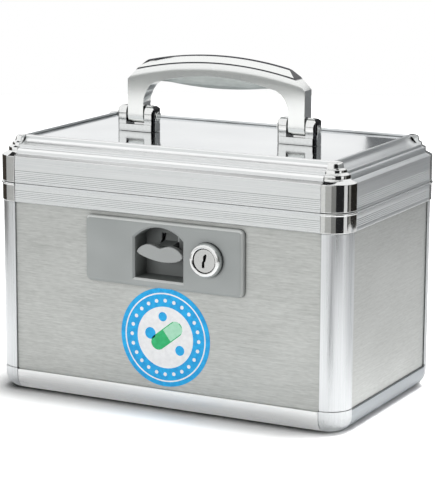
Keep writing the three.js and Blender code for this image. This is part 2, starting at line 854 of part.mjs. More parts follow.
function buildLatchLever(group) {
  const halfLever = leverWidth / 2;
  const padGeometry = extrude(padOutline(), padThickness - padBevel, padBevel).applyMatrix4(plateBasis);
  const pad = solidOf(padGeometry.translate(0, padBack, 0)).intersect(
    block(latchX - pocketHalfWidth, latchX + pocketHalfWidth, padFront, padBack, pocketBottom, pocketArch),
  );
  const armFront = pivotY - leverThickness + jointGap / 2;
  const armBack = armFront + leverThickness;
  const noseTop = noseBottom + noseHeight;
  const profile = outline([
    neckStart,
    neckEnd,
    ...arc([pivotY, latchPivotHeight], [latchHubRadius, latchHubRadius], -70, 80, arcPieces),
    [armBack, latchPivotHeight + latchHubRadius + leverThickness / 2],
    [armBack, noseBottom],
    [armBack + noseReach, noseBottom],
    [armBack + noseReach, noseBottom + noseHeight / 3],
    [armBack, noseTop],
    [armFront, noseTop],
    [armFront, latchPivotHeight + latchHubRadius],
    [pivotY - latchHubRadius, latchPivotHeight],
    [pivotY - latchHubRadius - pocketWall, latchPivotHeight - latchHubRadius],
    [padBack - padBevel, neckTop],
  ]);
  const arm = sideProfile(profile, latchX - halfLever, latchX + halfLever);
  const bore = rodAlongX(
    latchPinRadius + pivotGap,
    latchX - leverWidth,
    latchX + leverWidth,
    pivotY,
    latchPivotHeight,
  );
  place(group, 'latch_lever', cut(join(pad, arm), bore), materials.housingPlastic);
}

// Torsion spring on the latch pin: one leg on the pocket wall, the other under the lever's neck
function buildLatchSpring(group) {
  const right = latchX - leverWidth / 2 - springWire;
  const pitch = (springZone - 2 * springWire) / springTurns;
  const left = right - springTurns * pitch;
  const count = Math.round(springTurns * coilPieces);
  const wallY = pocketBackY + springWire / 2 + seatGap;
  const points = [
    new THREE.Vector3(left, wallY, latchPivotHeight - springLegLength),
    new THREE.Vector3(left, wallY, latchPivotHeight - springLegLength / 2),
  ];
  for (let i = 0; i <= count; i += 1) {
    const angle = Math.PI - (i / coilPieces) * 2 * Math.PI;
    points.push(new THREE.Vector3(
      left + (i / count) * (right - left),
      pivotY + springRadius * Math.cos(angle),
      latchPivotHeight + springRadius * Math.sin(angle),
    ));
  }
  const hookY = pivotY - springLegLength;
  const hookZ = neckUnderside(hookY) - springWire;
  const bendY = pivotY - springLegLength / 2;
  points.push(new THREE.Vector3(right, bendY, neckUnderside(bendY)));
  points.push(new THREE.Vector3(right, hookY, hookZ));
  points.push(new THREE.Vector3(right + 2 * springWire, hookY - springWire, hookZ - springWire / 2));
  points.push(new THREE.Vector3(latchX, hookY - springWire, hookZ - springWire / 2));
  const path = new THREE.CatmullRomCurve3(points, false, 'centripetal');
  const wire = outline(arc([0, 0], [springWire / 2, springWire / 2], 0, 360, wirePieces).slice(1));
  const steps = Math.round(points.length * wireStepsPerPoint);
  const geometry = new THREE.ExtrudeGeometry(wire, { steps, bevelEnabled: false, extrudePath: path });
  place(group, 'latch_spring', solidOf(geometry), materials.steel);
}

// Cam lock with its axis along Y
function buildLockBody(group) {
  const seat = housingFace - seatGap;
  const faceY = seat - bezelProud;
  const boreRadius = plugFaceRadius + pivotGap;
  const faceFloor = faceY + plugRecess + plugFaceDepth + jointGap;
  const end = seat + barrelLength;
  const rimArc = arc(
    [bezelCrownRadius, seat],
    [bezelRadius - bezelCrownRadius, bezelProud],
    -90,
    0,
    smallArcPieces,
  );
  const shankBore = plugShankRadius + pivotGap;
  const profile = [
    [boreRadius, faceY + edgeRounding],
    [boreRadius + edgeRounding, faceY],
    ...rimArc,
    [barrelRadius, seat],
    [barrelRadius, end],
    [shankBore, end],
    [shankBore, faceFloor],
    [boreRadius, faceFloor],
    [boreRadius, faceY + edgeRounding],
  ];
  place(group, 'lock_barrel', turnedAlongY(profile, lockX, lockHeight), materials.chrome);
  const nutFront = frontPanelBack + seatGap;
  const nutRadius = nutAcrossFlats / Math.sqrt(3);
  const nut = cut(
    rodAlongY(nutRadius, nutFront, nutFront + nutThickness, lockX, lockHeight, 6),
    rodAlongY(barrelRadius + pivotGap, nutFront - cutOverrun, nutFront + nutThickness + cutOverrun, lockX,
      lockHeight, turnPieces),
  );
  place(group, 'lock_nut', nut, materials.steel);
}

function buildLockPlug(group) {
  const faceY = housingFace - seatGap - bezelProud + plugRecess;
  const camFront = pocketBackY + camBehindPocket;
  const tailEnd = camFront + camThickness;
  const plugBody = turnedAlongY([
    [0, faceY],
    [plugFaceRadius - edgeRounding, faceY],
    [plugFaceRadius, faceY + edgeRounding],
    [plugFaceRadius, faceY + plugFaceDepth],
    [plugShankRadius, faceY + plugFaceDepth],
    [plugShankRadius, housingFace - seatGap + barrelLength + jointGap],
    [plugTailRadius, housingFace - seatGap + barrelLength + jointGap],
    [plugTailRadius, tailEnd],
    [0, tailEnd],
  ], lockX, lockHeight);
  const halfWidth = keywayWidth / 2;
  const halfHeight = keywayHeight / 2;
  const keywayShape = outline([
    [lockX - halfWidth - keywayWave, lockHeight - halfHeight],
    [lockX + halfWidth - keywayWave, lockHeight - halfHeight],
    [lockX + halfWidth - keywayWave, lockHeight - halfWidth],
    [lockX + halfWidth, lockHeight],
    [lockX + halfWidth + keywayWave, lockHeight + halfHeight - halfWidth],
    [lockX + keywayWave, lockHeight + halfHeight],
    [lockX - halfWidth, lockHeight + halfHeight - keywayWidth],
    [lockX - halfWidth, lockHeight],
    [lockX - halfWidth - keywayWave, lockHeight - halfWidth],
  ]);
  const keyway = frontPlate(keywayShape, faceY + keywayDepth, faceY - cutOverrun);
  const screwHole = rodAlongY(
    camScrewRadius + pivotGap,
    tailEnd - camScrewLength - seatGap,
    tailEnd + cutOverrun,
    lockX,
    lockHeight,
  );
  const flatFront = camFront - jointGap;
  const flats = [1, -1].map((way) => block(
    Math.min(lockX + way * plugTailFlat, lockX + way * plugShankRadius),
    Math.max(lockX + way * plugTailFlat, lockX + way * plugShankRadius),
    flatFront,
    tailEnd + cutOverrun,
    lockHeight - plugShankRadius,
    lockHeight + plugShankRadius,
  ));
  place(group, 'lock_plug', cut(plugBody, keyway, screwHole, ...flats), materials.chrome);

  const tip = camWidth / 2;
  const tipCentre = lockHeight + camLength - ringRounding;
  const camShape = outline([
    ...arc([lockX, lockHeight], [camHubRadius, camHubRadius], 180, 360, arcPieces),
    [lockX + tip, lockHeight + camHubRadius],
    ...arc([lockX + tip - ringRounding, tipCentre], [ringRounding, ringRounding], 0, 90),
    ...arc([lockX - tip + ringRounding, tipCentre], [ringRounding, ringRounding], 90, 180),
    [lockX - tip, lockHeight + camHubRadius],
  ]);
  const camPlate = frontPlate(camShape, camFront + camThickness, camFront);
  const holeRadius = plugTailRadius + pivotGap;
  const tailHole = rodAlongY(holeRadius, camFront - cutOverrun, tailEnd + cutOverrun, lockX, lockHeight);
  const tailFlats = block(
    lockX - plugTailFlat - pivotGap,
    lockX + plugTailFlat + pivotGap,
    camFront - 2 * cutOverrun,
    tailEnd + 2 * cutOverrun,
    lockHeight - plugShankRadius,
    lockHeight + plugShankRadius,
  );
  place(group, 'lock_cam', cut(camPlate, tailHole.intersect(tailFlats)), materials.steel);

  const headFront = tailEnd + seatGap;
  const screw = join(
    rodAlongY(camScrewHeadRadius, headFront, headFront + camScrewHead, lockX, lockHeight),
    rodAlongY(camScrewRadius, headFront - camScrewLength, headFront + jointGap, lockX, lockHeight),
  );
  place(group, 'cam_screw', screw, materials.steel);
}

// Lid frame and panel
const bracketScrewPlaces = [-1, 1].flatMap((hand) => {
  const earCentre = (bracketWidth - earWidth) / 2;
  return [hand * (handleSpread - earCentre), hand * (handleSpread + earCentre)];
});

const keeperLeft = latchX - keeperHalfWidth;
const keeperRight = keeperTongueLeft + keeperTongueWidth;
const keeperStudPlaces = [keeperLeft + keeperHalfWidth / 2, keeperRight - keeperHalfWidth / 2];
const keeperStudY = -(cornerAxisY - lidLip / 2);

function buildLidFrame(group) {
  for (const side of sides) {
    const rail = railSolid(lidRailProfile(), side);
    const studs = keeperStudPlaces.map((x) => rodAlongZ(
      keeperStudRadius + pivotGap,
      lidLipBottom - cutOverrun,
      lidLipTop + jointGap,
      x,
      keeperStudY,
    ));
    const solid = side.name === 'front' ? cut(rail, ...studs) : rail;
    placeRail(group, `lid_rail_${side.name}`, solid, materials.anodisedFrame, side);
  }
  for (const corner of corners) {
    place(group, `lid_corner_${corner.name}`, cornerSolid(lidCornerProfile()), materials.chrome, corner);
  }
  const halfX = cornerAxisX + lidPanelTab;
  const halfY = cornerAxisY + lidPanelTab;
  const holes = bracketScrewPlaces.map((x) => rodAlongZ(
    bracketScrewRadius + seatGap,
    lidPanelBottom - cutOverrun,
    lidPanelTop + cutOverrun,
    x,
    0,
  ));
  const panel = cut(block(-halfX, halfX, -halfY, halfY, lidPanelBottom, lidPanelTop), ...holes);
  place(group, 'lid_panel', panel, materials.lidPanel);
}

// Bent keeper plate under the lid: a hook for the latch and a ledge that the lock's cam holds down
function buildKeeper(group) {
  const noseEnd = pivotY + jointGap / 2 + noseReach;
  const front = noseEnd + keeperBehindNose;
  const back = front + keeperThickness;
  const top = lidLipBottom - seatGap;
  const flangeBottom = top - keeperThickness;
  const hookTop = noseBottom - partingGap;
  const hookBottom = hookTop - keeperThickness;
  const ledgeTop = lockHeight - camWidth / 2 - partingGap;
  const ledgeBottom = ledgeTop - keeperThickness;
  const bandBottom = partingHeight + keeperBandAboveParting;
  const shape = outline([
    [keeperLeft, hookBottom],
    [keeperLeft + 2 * keeperHalfWidth, hookBottom],
    [keeperLeft + 2 * keeperHalfWidth, bandBottom],
    [keeperTongueLeft, bandBottom],
    [keeperTongueLeft, ledgeBottom],
    [keeperRight, ledgeBottom],
    [keeperRight, top],
    [keeperLeft, top],
  ]);
  const flangeShape = roundedRectangle(keeperLeft, keeperRight, back - keeperFlangeReach, back, ringRounding);
  const studs = keeperStudPlaces.map((x) => rodAlongZ(
    keeperStudRadius,
    top - keeperThickness / 2,
    lidLipTop - jointGap,
    x,
    keeperStudY,
  ));
  const keeper = join(
    frontPlate(shape, back, front),
    planPlate(flangeShape, flangeBottom, top),
    block(keeperLeft, keeperLeft + 2 * keeperHalfWidth, front - keeperHookReach, back, hookBottom, hookTop),
    block(keeperTongueLeft, keeperRight, front - lockLedgeReach, back, ledgeBottom, ledgeTop),
    ...studs,
  );
  place(group, 'lid_keeper', keeper, materials.steel);
}

// Handle brackets: a base with two rounded ears each
function bracketSolid(hand) {
  const bottom = lidPanelTop + seatGap;
  const earTop = bottom + earHeight;
  const centre = hand * handleSpread;
  const halfEar = earDepth / 2;
  const left = centre - bracketWidth / 2;
  const right = centre + bracketWidth / 2;
  const earOutline = outline([
    [-halfEar, bottom],
    [halfEar, bottom],
    ...arc([0, earTop - halfEar], [halfEar, halfEar], 0, 180, 2 * arcPieces),
  ]);
  const ears = [
    sideProfile(earOutline, left, left + earWidth),
    sideProfile(earOutline, right - earWidth, right),
  ];
  const rounding = [earCornerRounding, earCornerRounding];
  const arch = frontPlate(outline([
    [left, bottom],
    [right, bottom],
    ...arc([right - earCornerRounding, earTop - earCornerRounding], rounding, 0, 90),
    ...arc([left + earCornerRounding, earTop - earCornerRounding], rounding, 90, 180),
  ]), bracketDepth, -bracketDepth);
  const halfDepth = bracketDepth / 2;
  const plan = roundedRectangle(left, right, -halfDepth, halfDepth, bracketCornerRounding, arcPieces);
  const base = planPlate(plan, bottom, bottom + bracketBase);
  const column = planPlate(plan, bottom - cutOverrun, earTop + cutOverrun);
  const screwHoles = bracketScrewPlaces.filter((x) => x * hand > 0).map((x) => rodAlongZ(
    bracketScrewRadius + pivotGap,
    bottom - cutOverrun,
    bottom + bracketScrewLength - lidPanelThickness,
    x,
    0,
  ));
  const pinHole = rodAlongX(handlePinRadius + pivotGap, left - cutOverrun, right + cutOverrun, 0, pinHeight);
  return cut(join(...ears, base).intersect(arch).intersect(column), ...screwHoles, pinHole);
}

function buildBrackets(group) {
  for (const [name, hand] of [['left', -1], ['right', 1]]) {
    place(group, `handle_bracket_${name}`, bracketSolid(hand), materials.chrome);
  }
  bracketScrewPlaces.forEach((x, i) => {
    const headTop = lidPanelBottom - seatGap;
    const screw = join(
      rodAlongZ(bracketScrewHeadRadius, headTop - bracketScrewHead, headTop, x, 0),
      rodAlongZ(bracketScrewRadius, headTop - jointGap, headTop + bracketScrewLength, x, 0),
    );
    place(group, `bracket_screw_${i + 1}`, screw, materials.steel);
  });
}

// A lofted solid through rings that all have the same number of points
function loft(rings) {
  const size = rings[0].length;
  const positions = rings.flat().flatMap((point) => [point.x, point.y, point.z]);
  const index = [];
  for (let i = 0; i + 1 < rings.length; i += 1) {
    for (let j = 0; j < size; j += 1) {
      const a = i * size + j;
      const b = i * size + ((j + 1) % size);
      index.push(a, b + size, b, a, a + size, b + size);
    }
  }
  const last = (rings.length - 1) * size;
  for (let j = 1; j + 1 < size; j += 1) {
    index.push(0, j, j + 1, last, last + j + 1, last + j);
  }
  const geometry = new THREE.BufferGeometry();
  geometry.setAttribute('position', new THREE.Float32BufferAttribute(positions, 3));
  geometry.setIndex(index);
  return solidOf(geometry);
}

// Height of a shallow arch that is level at its middle and passes its end
function archHeight(x, middle, endX, end) {
  const drop = middle - end;
  const radius = (endX ** 2 + drop ** 2) / (2 * drop);
  return middle - radius + Math.sqrt(radius ** 2 - x ** 2);
}

// Half of the handle, as stations from the middle of the grip to the foot of the leg.
// Each station has its outer edge, ridge, inner edge and belly, all as [x, z].
function handleStations() {
  const legOuter = handleSpread + legWidth / 2;
  const legInner = handleSpread - legWidth / 2;
  const shoulder = pinHeight + shoulderRise;
  const creaseEnd = [legOuter - chamferWidth, shoulder + chamferHeight];
  const crownEnd = [creaseEnd[0] - crownInset, creaseEnd[1] + crownRise];
  const creaseMiddle = creaseEnd[1] + creaseArch;
  const crownMiddle = crownEnd[1] + crownArch;
  const archMiddle = creaseMiddle - gripHeight;
  const archCorner = [legInner - archCornerRun, archMiddle - archInnerDrop];
  const stations = [];
  const gripStations = 10;
  for (let i = 0; i <= gripStations; i += 1) {
    const share = i / gripStations;
    const [outerX, ridgeX, innerX] = [share * creaseEnd[0], share * crownEnd[0], share * archCorner[0]];
    const innerZ = archHeight(innerX, archMiddle, ...archCorner);
    stations.push({
      outer: [outerX, archHeight(outerX, creaseMiddle, ...creaseEnd)],
      ridge: [ridgeX, archHeight(ridgeX, crownMiddle, ...crownEnd)],
      inner: [innerX, innerZ],
      belly: [innerX, innerZ - bellyDepth * (1 - share ** 2)],
    });
  }
  const cornerStations = 5;
  for (let i = 1; i <= cornerStations; i += 1) {
    const share = i / cornerStations;
    const angle = (share * Math.PI) / 2;
    const inner = [
      archCorner[0] + archCornerRun * Math.sin(angle),
      archCorner[1] - archCornerDrop * (1 - Math.cos(angle)),
    ];
    const { lerp } = THREE.MathUtils;
    const towards = ([x, z]) => [lerp(x, legOuter, share), lerp(z, shoulder, share)];
    stations.push({ outer: towards(creaseEnd), ridge: towards(crownEnd), inner, belly: inner });
  }
  const foot = { outer: [legOuter, pinHeight], ridge: [legOuter, pinHeight] };
  stations.push({ ...foot, inner: [legInner, pinHeight], belly: [legInner, pinHeight] });
  return stations;
}

// One ring of the handle's section, front edge first, then over the ridge and back under the belly
function handleRing(station, side) {
  const crownShare = 0.35;
  const bellyShare = 0.7;
  const mix = (from, to, share) => from.map((value, i) => value + (to[i] - value) * share);
  const level = (share) => mix(station.inner, station.belly, share);
  const points = [
    [station.outer, -halfThickness],
    [mix(station.outer, station.ridge, 1 - crownShare / 2), -halfThickness * crownShare],
    [station.ridge, 0],
    [mix(station.outer, station.ridge, 1 - crownShare / 2), halfThickness * crownShare],
    [station.outer, halfThickness],
    [station.inner, halfThickness],
    [level(bellyShare), halfThickness * bellyShare],
    [level(1), 0],
    [level(bellyShare), -halfThickness * bellyShare],
    [station.inner, -halfThickness],
  ];
  return points.map(([[x, z], y]) => new THREE.Vector3(side * x, y, z));
}

function buildHandle(group) {
  const stations = handleStations();
  const leftHalf = stations.slice(1).reverse().map((station) => handleRing(station, -1));
  const rightHalf = stations.map((station) => handleRing(station, 1));
  const bow = loft([...leftHalf, ...rightHalf]);
  const feet = [-1, 1].map((hand) => rodAlongX(
    halfThickness,
    hand * handleSpread - legWidth / 2,
    hand * handleSpread + legWidth / 2,
    0,
    pinHeight,
    2 * rodPieces,
  ));
  const reach = cornerAxisX;
  const bore = rodAlongX(handlePinRadius + pivotGap, -reach, reach, 0, pinHeight);
  place(group, 'handle_grip', cut(join(bow, ...feet), bore), materials.handlePlastic);
}

function buildHandlePins(group) {
  for (const [name, hand] of [['left', -1], ['right', 1]]) {
    const inner = hand * (handleSpread - bracketWidth / 2 - jointGap);
    const headEnd = inner - hand * handlePinHead;
    const outer = hand * (handleSpread + bracketWidth / 2 - edgeRounding);
    const shank = rodAlongX(handlePinRadius, Math.min(inner, outer), Math.max(inner, outer), 0, pinHeight);
    const head = rodAlongX(
      handlePinHeadRadius,
      Math.min(inner, headEnd),
      Math.max(inner, headEnd),
      0,
      pinHeight,
    );
    place(group, `handle_pin_${name}`, join(shank, head), materials.chrome);
  }
}

// Butt hinge leaf on the back of the case: plate, knuckles on the axis and domed rivet heads
function hingeLeaf(centre, upwards, knuckles) {
  const way = upwards ? 1 : -1;
  const seat = cornerAxisY + railFace + seatGap;
  const near = partingHeight + way * (hingeBarrelRadius + partingGap);
  const far = near + way * (upwards ? lidLeafHeight : bodyLeafHeight);
  const half = hingeWidth / 2;
  const low = Math.min(near, far);
  const high = Math.max(near, far);
  const plate = frontPlate(
    roundedRectangle(centre - half, centre + half, low, high, edgeRounding),
    seat + hingeLeafThickness,
    seat,
  );
  const parts = knuckles.flatMap(([left, right]) => [
    rodAlongX(hingeBarrelRadius, centre + left, centre + right, hingeAxisY, partingHeight),
    block(
      centre + left,
      centre + right,
      seat,
      seat + hingeLeafThickness,
      Math.min(partingHeight, near + way * edgeRounding),
      Math.max(partingHeight, near + way * edgeRounding),
    ),
  ]);
  const rivets = [-1, 1].map((hand) => {
    const dome = new THREE.SphereGeometry(hingeRivetRadius, rodPieces, 2 * smallArcPieces);
    dome.scale(1, hingeRivetRise / hingeRivetRadius, 1);
    const x = centre + hand * hingeRivetShare * hingeWidth;
    return solidOf(dome.translate(x, seat + hingeLeafThickness, (low + high) / 2));
  });
  return join(plate, ...parts, ...rivets);
}

function buildHinges(bodyGroup, lidGroup) {
  const half = hingeWidth / 2;
  const middle = hingeKnuckle / 2;
  const outerStart = middle + jointGap;
  for (const [name, hand] of [['left', -1], ['right', 1]]) {
    const centre = hand * hingeSpread;
    const rodOf = (radius, reach) =>
      rodAlongX(radius, centre - reach, centre + reach, hingeAxisY, partingHeight);
    const bore = rodOf(hingePinRadius + pivotGap, half + cutOverrun);
    const bodyLeaf = cut(hingeLeaf(centre, false, [[-half, -outerStart], [outerStart, half]]), bore);
    const lidLeaf = cut(hingeLeaf(centre, true, [[-middle, middle]]), bore);
    place(bodyGroup, `hinge_${name}_body_leaf`, bodyLeaf, materials.chrome);
    place(bodyGroup, `hinge_${name}_pin`, rodOf(hingePinRadius, half), materials.steel);
    place(lidGroup, `hinge_${name}_lid_leaf`, lidLeaf, materials.chrome);
  }
}

const lockBox = new THREE.Group();
const body = new THREE.Group();
const lid = new THREE.Group();
const handle = new THREE.Group();
const latch = new THREE.Group();
const lock = new THREE.Group();
const casework = new THREE.Group();
casework.add(body, lid, latch, lock);
lid.add(handle);
lockBox.add(casework);

buildCase(body);
buildHousing(body);
buildLatchSpring(body);
buildLatchLever(latch);
buildLockBody(body);
buildLockPlug(lock);
buildLidFrame(lid);
buildKeeper(lid);
buildBrackets(lid);
buildHandlePins(lid);
buildHandle(handle);
buildHinges(body, lid);

// The hinge barrels and the lock's bezel reach past the frame, so the case is set midway between them
const frontReach = seatGap + bezelProud - housingFace;
const backReach = hingeAxisY + hingeBarrelRadius;
casework.position.y = (frontReach - backReach) / 2;

export default lockBox;
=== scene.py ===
# Looks of a small lockable medicine case: brushed aluminium sheet in an anodised frame, plated stepped
# corners, an arched silver handle on plated brackets, a grey moulded latch housing and a cam lock.
# Metres, +Z up, the front faces -Y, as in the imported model.
import json
import math

import bpy
from mathutils import Matrix, Vector


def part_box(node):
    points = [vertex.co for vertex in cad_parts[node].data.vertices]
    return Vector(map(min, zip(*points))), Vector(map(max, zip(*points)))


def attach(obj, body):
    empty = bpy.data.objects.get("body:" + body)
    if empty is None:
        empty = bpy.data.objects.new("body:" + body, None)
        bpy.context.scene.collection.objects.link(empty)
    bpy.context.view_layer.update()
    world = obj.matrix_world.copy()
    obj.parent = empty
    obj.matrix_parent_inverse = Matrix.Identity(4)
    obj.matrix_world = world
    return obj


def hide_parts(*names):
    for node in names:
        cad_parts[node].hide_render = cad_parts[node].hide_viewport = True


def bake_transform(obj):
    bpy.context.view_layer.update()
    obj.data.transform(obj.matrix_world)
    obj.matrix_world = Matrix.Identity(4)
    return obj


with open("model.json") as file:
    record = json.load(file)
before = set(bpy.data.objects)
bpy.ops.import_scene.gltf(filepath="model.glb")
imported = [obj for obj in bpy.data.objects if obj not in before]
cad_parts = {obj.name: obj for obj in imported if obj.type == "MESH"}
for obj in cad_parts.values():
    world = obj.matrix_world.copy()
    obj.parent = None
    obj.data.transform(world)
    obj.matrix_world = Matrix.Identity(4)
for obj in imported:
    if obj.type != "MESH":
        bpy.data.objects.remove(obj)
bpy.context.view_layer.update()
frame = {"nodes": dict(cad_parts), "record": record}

MM = 0.001
bodies = frame["record"]["behaviour"]["bodies"]
body_of = {node: body for body, members in bodies.items() for node in members}


# Materials

def linear(shade):
    """A linear colour from an sRGB hex value."""
    parts = [int(shade[i:i + 2], 16) / 255 for i in (1, 3, 5)]
    return [c / 12.92 if c <= 0.04045 else ((c + 0.055) / 1.055) ** 2.4 for c in parts] + [1]


def add(tree, kind, settings, links=None):
    """Adds one node. A setting goes to the node's own property, or else to the socket of that name or
    number."""
    node = tree.nodes.new("ShaderNode" + kind)
    for key, value in settings.items():
        if isinstance(key, str) and hasattr(node, key):
            setattr(node, key, value)
        else:
            node.inputs[key].default_value = value
    for key, socket in (links or {}).items():
        tree.links.new(socket, node.inputs[key])
    return node


def start(name, shade, metallic, roughness):
    """A new material: its node tree, its shader and the piece's own coordinates."""
    material = bpy.data.materials.new(name)
    material.use_nodes = True
    tree = material.node_tree
    shader = tree.nodes["Principled BSDF"]
    shader.inputs["Base Color"].default_value = linear(shade)
    shader.inputs["Metallic"].default_value = metallic
    shader.inputs["Roughness"].default_value = roughness
    place = add(tree, "TexCoord", {}).outputs["Object"]
    return material, tree, shader, place


def tint(tree, shader, factor, dark, light, low=0.3, high=0.7):
    """The base colour runs from dark to light as the factor goes from low to high."""
    ramp = add(tree, "ValToRGB", {}, {"Fac": factor})
    ramp.color_ramp.elements[0].position = low
    ramp.color_ramp.elements[0].color = linear(dark)
    ramp.color_ramp.elements[1].position = high
    ramp.color_ramp.elements[1].color = linear(light)
    tree.links.new(ramp.outputs["Color"], shader.inputs["Base Color"])


def sheen(tree, shader, factor, low, high):
    """The roughness runs from low to high over the middle range of a noise."""
    settings = {"From Min": 0.3, "From Max": 0.7, "To Min": low, "To Max": high}
    level = add(tree, "MapRange", settings, {"Value": factor}).outputs["Result"]
    tree.links.new(level, shader.inputs["Roughness"])


def relief(tree, shader, height, depth_mm, strength):
    """Gives the surface a fine relief of this depth."""
    bump = add(tree, "Bump", {"Strength": strength, "Distance": depth_mm * MM}, {"Height": height})
    tree.links.new(bump.outputs["Normal"], shader.inputs["Normal"])


def near_shade(tree, shader, reach_mm, darkest):
    """Paints shade into the base colour close under an overhang or beside another surface."""
    base = shader.inputs["Base Color"].links[0].from_socket
    near = add(tree, "AmbientOcclusion", {"Distance": reach_mm * MM, "samples": 8}).outputs["AO"]
    level = add(tree, "MapRange", {"From Min": 0.3, "From Max": 0.9, "To Min": darkest},
                {"Value": near}).outputs[0]
    shaded = add(tree, "Mix", {"data_type": "RGBA", "blend_type": "MULTIPLY", 0: 1.0},
                 {6: base, 7: level}).outputs[2]
    tree.links.new(shaded, shader.inputs["Base Color"])


def grain(tree, place, size_mm, detail=2.0, roughness=0.5, distortion=0.0):
    """Noise whose grain is size_mm long along x, y and z."""
    stretch = [1 / (s * MM) for s in size_mm]
    mapped = add(tree, "Mapping", {"Scale": stretch}, {"Vector": place})
    settings = {"Scale": 1.0, "Detail": detail, "Roughness": roughness, "Distortion": distortion}
    return add(tree, "TexNoise", settings, {"Vector": mapped.outputs["Vector"]}).outputs["Fac"]


def from_axis(tree, place, centre):
    """The distance from a line through the centre that runs from front to back."""
    moved = add(tree, "Mapping", {"Location": [-c for c in centre]}, {"Vector": place}).outputs["Vector"]
    parts = add(tree, "SeparateXYZ", {}, {0: moved})
    flat = add(tree, "CombineXYZ", {}, {"X": parts.outputs["X"], "Z": parts.outputs["Z"]}).outputs[0]
    return add(tree, "VectorMath", {"operation": "LENGTH"}, {0: flat}).outputs["Value"]


def brushed_sheet(name, run, dark, light):
    """Aluminium sheet, belt brushed. Long level scratches over a pale warm grey, a little lighter and darker
    from scratch to scratch. Real ones are near 0.1 mm high; they are drawn 0.5 to 0.9 mm high to show."""
    material, tree, shader, place = start(name, "#bec0bd", metallic=1.0, roughness=0.42)
    through_mm, scratch_mm, nick_mm = 50.0, (24.0, 0.55), (5.0, 0.9)
    scratch_size, nick_size = [
        (length, through_mm, height) if run == "x" else (through_mm, length, height)
        for length, height in (scratch_mm, nick_mm)]
    scratches = grain(tree, place, scratch_size, detail=3.0, roughness=0.6)
    nicks = grain(tree, place, nick_size, roughness=0.55, distortion=0.4)
    clouds = grain(tree, place, (45.0, 45.0, 30.0), detail=1.0)
    strokes = add(tree, "Mix", {"data_type": "FLOAT", 0: 0.5}, {2: scratches, 3: nicks}).outputs[0]
    clouded = add(tree, "Mix", {"data_type": "FLOAT", 0: 0.2}, {2: strokes, 3: clouds}).outputs[0]
    tint(tree, shader, clouded, dark, light)
    sheen(tree, shader, strokes, low=0.36, high=0.5)
    relief(tree, shader, strokes, depth_mm=0.03, strength=0.35)
    # Painted shade: the sheet darkens under the rims' overhang and beside the posts.
    near_shade(tree, shader, reach_mm=5.0, darkest=0.5)
    return material


def anodised_extrusion(name, run, dark="#e8ebec", light="#f4f6f7", roughness=0.3):
    """Drawn aluminium section, satin anodised. Cool pale silver with a soft sheen and faint die lines
    that follow its length. They are drawn 0.5 mm apart, which is coarser than real ones."""
    material, tree, shader, place = start(name, light, metallic=1.0, roughness=roughness)
    lines = grain(tree, place, [60.0 if axis == run else 0.5 for axis in "xyz"])
    tint(tree, shader, lines, dark, light)
    sheen(tree, shader, lines, low=roughness - 0.04, high=roughness + 0.06)
    relief(tree, shader, lines, depth_mm=0.01, strength=0.2)
    return material


def bright_chrome(name, dark="#e8e9e8", light="#f0f1f0", shaded=1.0):
    """Zinc casting, polished and chrome plated. A hard mirror, very slightly wavy from polishing, and with
    shaded below one it gets painted shade in its narrow corners."""
    polish = 0.05
    material, tree, shader, place = start(name, light, metallic=1.0, roughness=polish)
    waves = grain(tree, place, (7.0, 7.0, 7.0), detail=1.0)
    haze = grain(tree, place, (1.2, 1.2, 1.2))
    sheen(tree, shader, haze, low=polish * 0.7, high=polish * 1.5)
    relief(tree, shader, waves, depth_mm=0.04, strength=0.12)
    tint(tree, shader, haze, dark, light)
    if shaded < 1:
        near_shade(tree, shader, reach_mm=2.5, darkest=shaded)
    return material


def bezel_chrome(name, plate_y):
    """The same chrome on the lock's domed bezel. Bright on the dome, and painted near black towards its foot,
    as shade where the plate shuts out the light; a faint grain is mixed in."""
    material, tree, shader, place = start(name, "#e8e9e8", metallic=1.0, roughness=0.06)
    foot_mm, dome_mm = 0.9, 3.7
    depth = add(tree, "SeparateXYZ", {}, {0: place}).outputs["Y"]
    wear = grain(tree, place, (1.2, 1.2, 1.2))
    # Painted shade: darker from the dome down to the plate.
    up = add(tree, "MapRange", {"From Min": plate_y - foot_mm * MM, "From Max": plate_y - dome_mm * MM},
             {"Value": depth}).outputs[0]
    foot_shade_and_wear = add(tree, "Mix", {"data_type": "FLOAT", 0: 0.06}, {2: up, 3: wear}).outputs[0]
    tint(tree, shader, foot_shade_and_wear, "#2c2d30", "#eceeed", low=0.02, high=0.9)
    relief(tree, shader, grain(tree, place, (7.0, 7.0, 7.0), detail=1.0), depth_mm=0.04, strength=0.12)
    return material


def polished_lid_sheet(name):
    """Aluminium faced sheet under a clear gloss coat. Pale, and a near mirror for what stands on it."""
    material, tree, shader, place = start(name, "#e6e9ea", metallic=1.0, roughness=0.1)
    clouds = grain(tree, place, (60.0, 60.0, 60.0), detail=1.0)
    tint(tree, shader, clouds, "#d7dadc", "#e6e9ea")
    sheen(tree, shader, clouds, low=0.07, high=0.13)
    return material


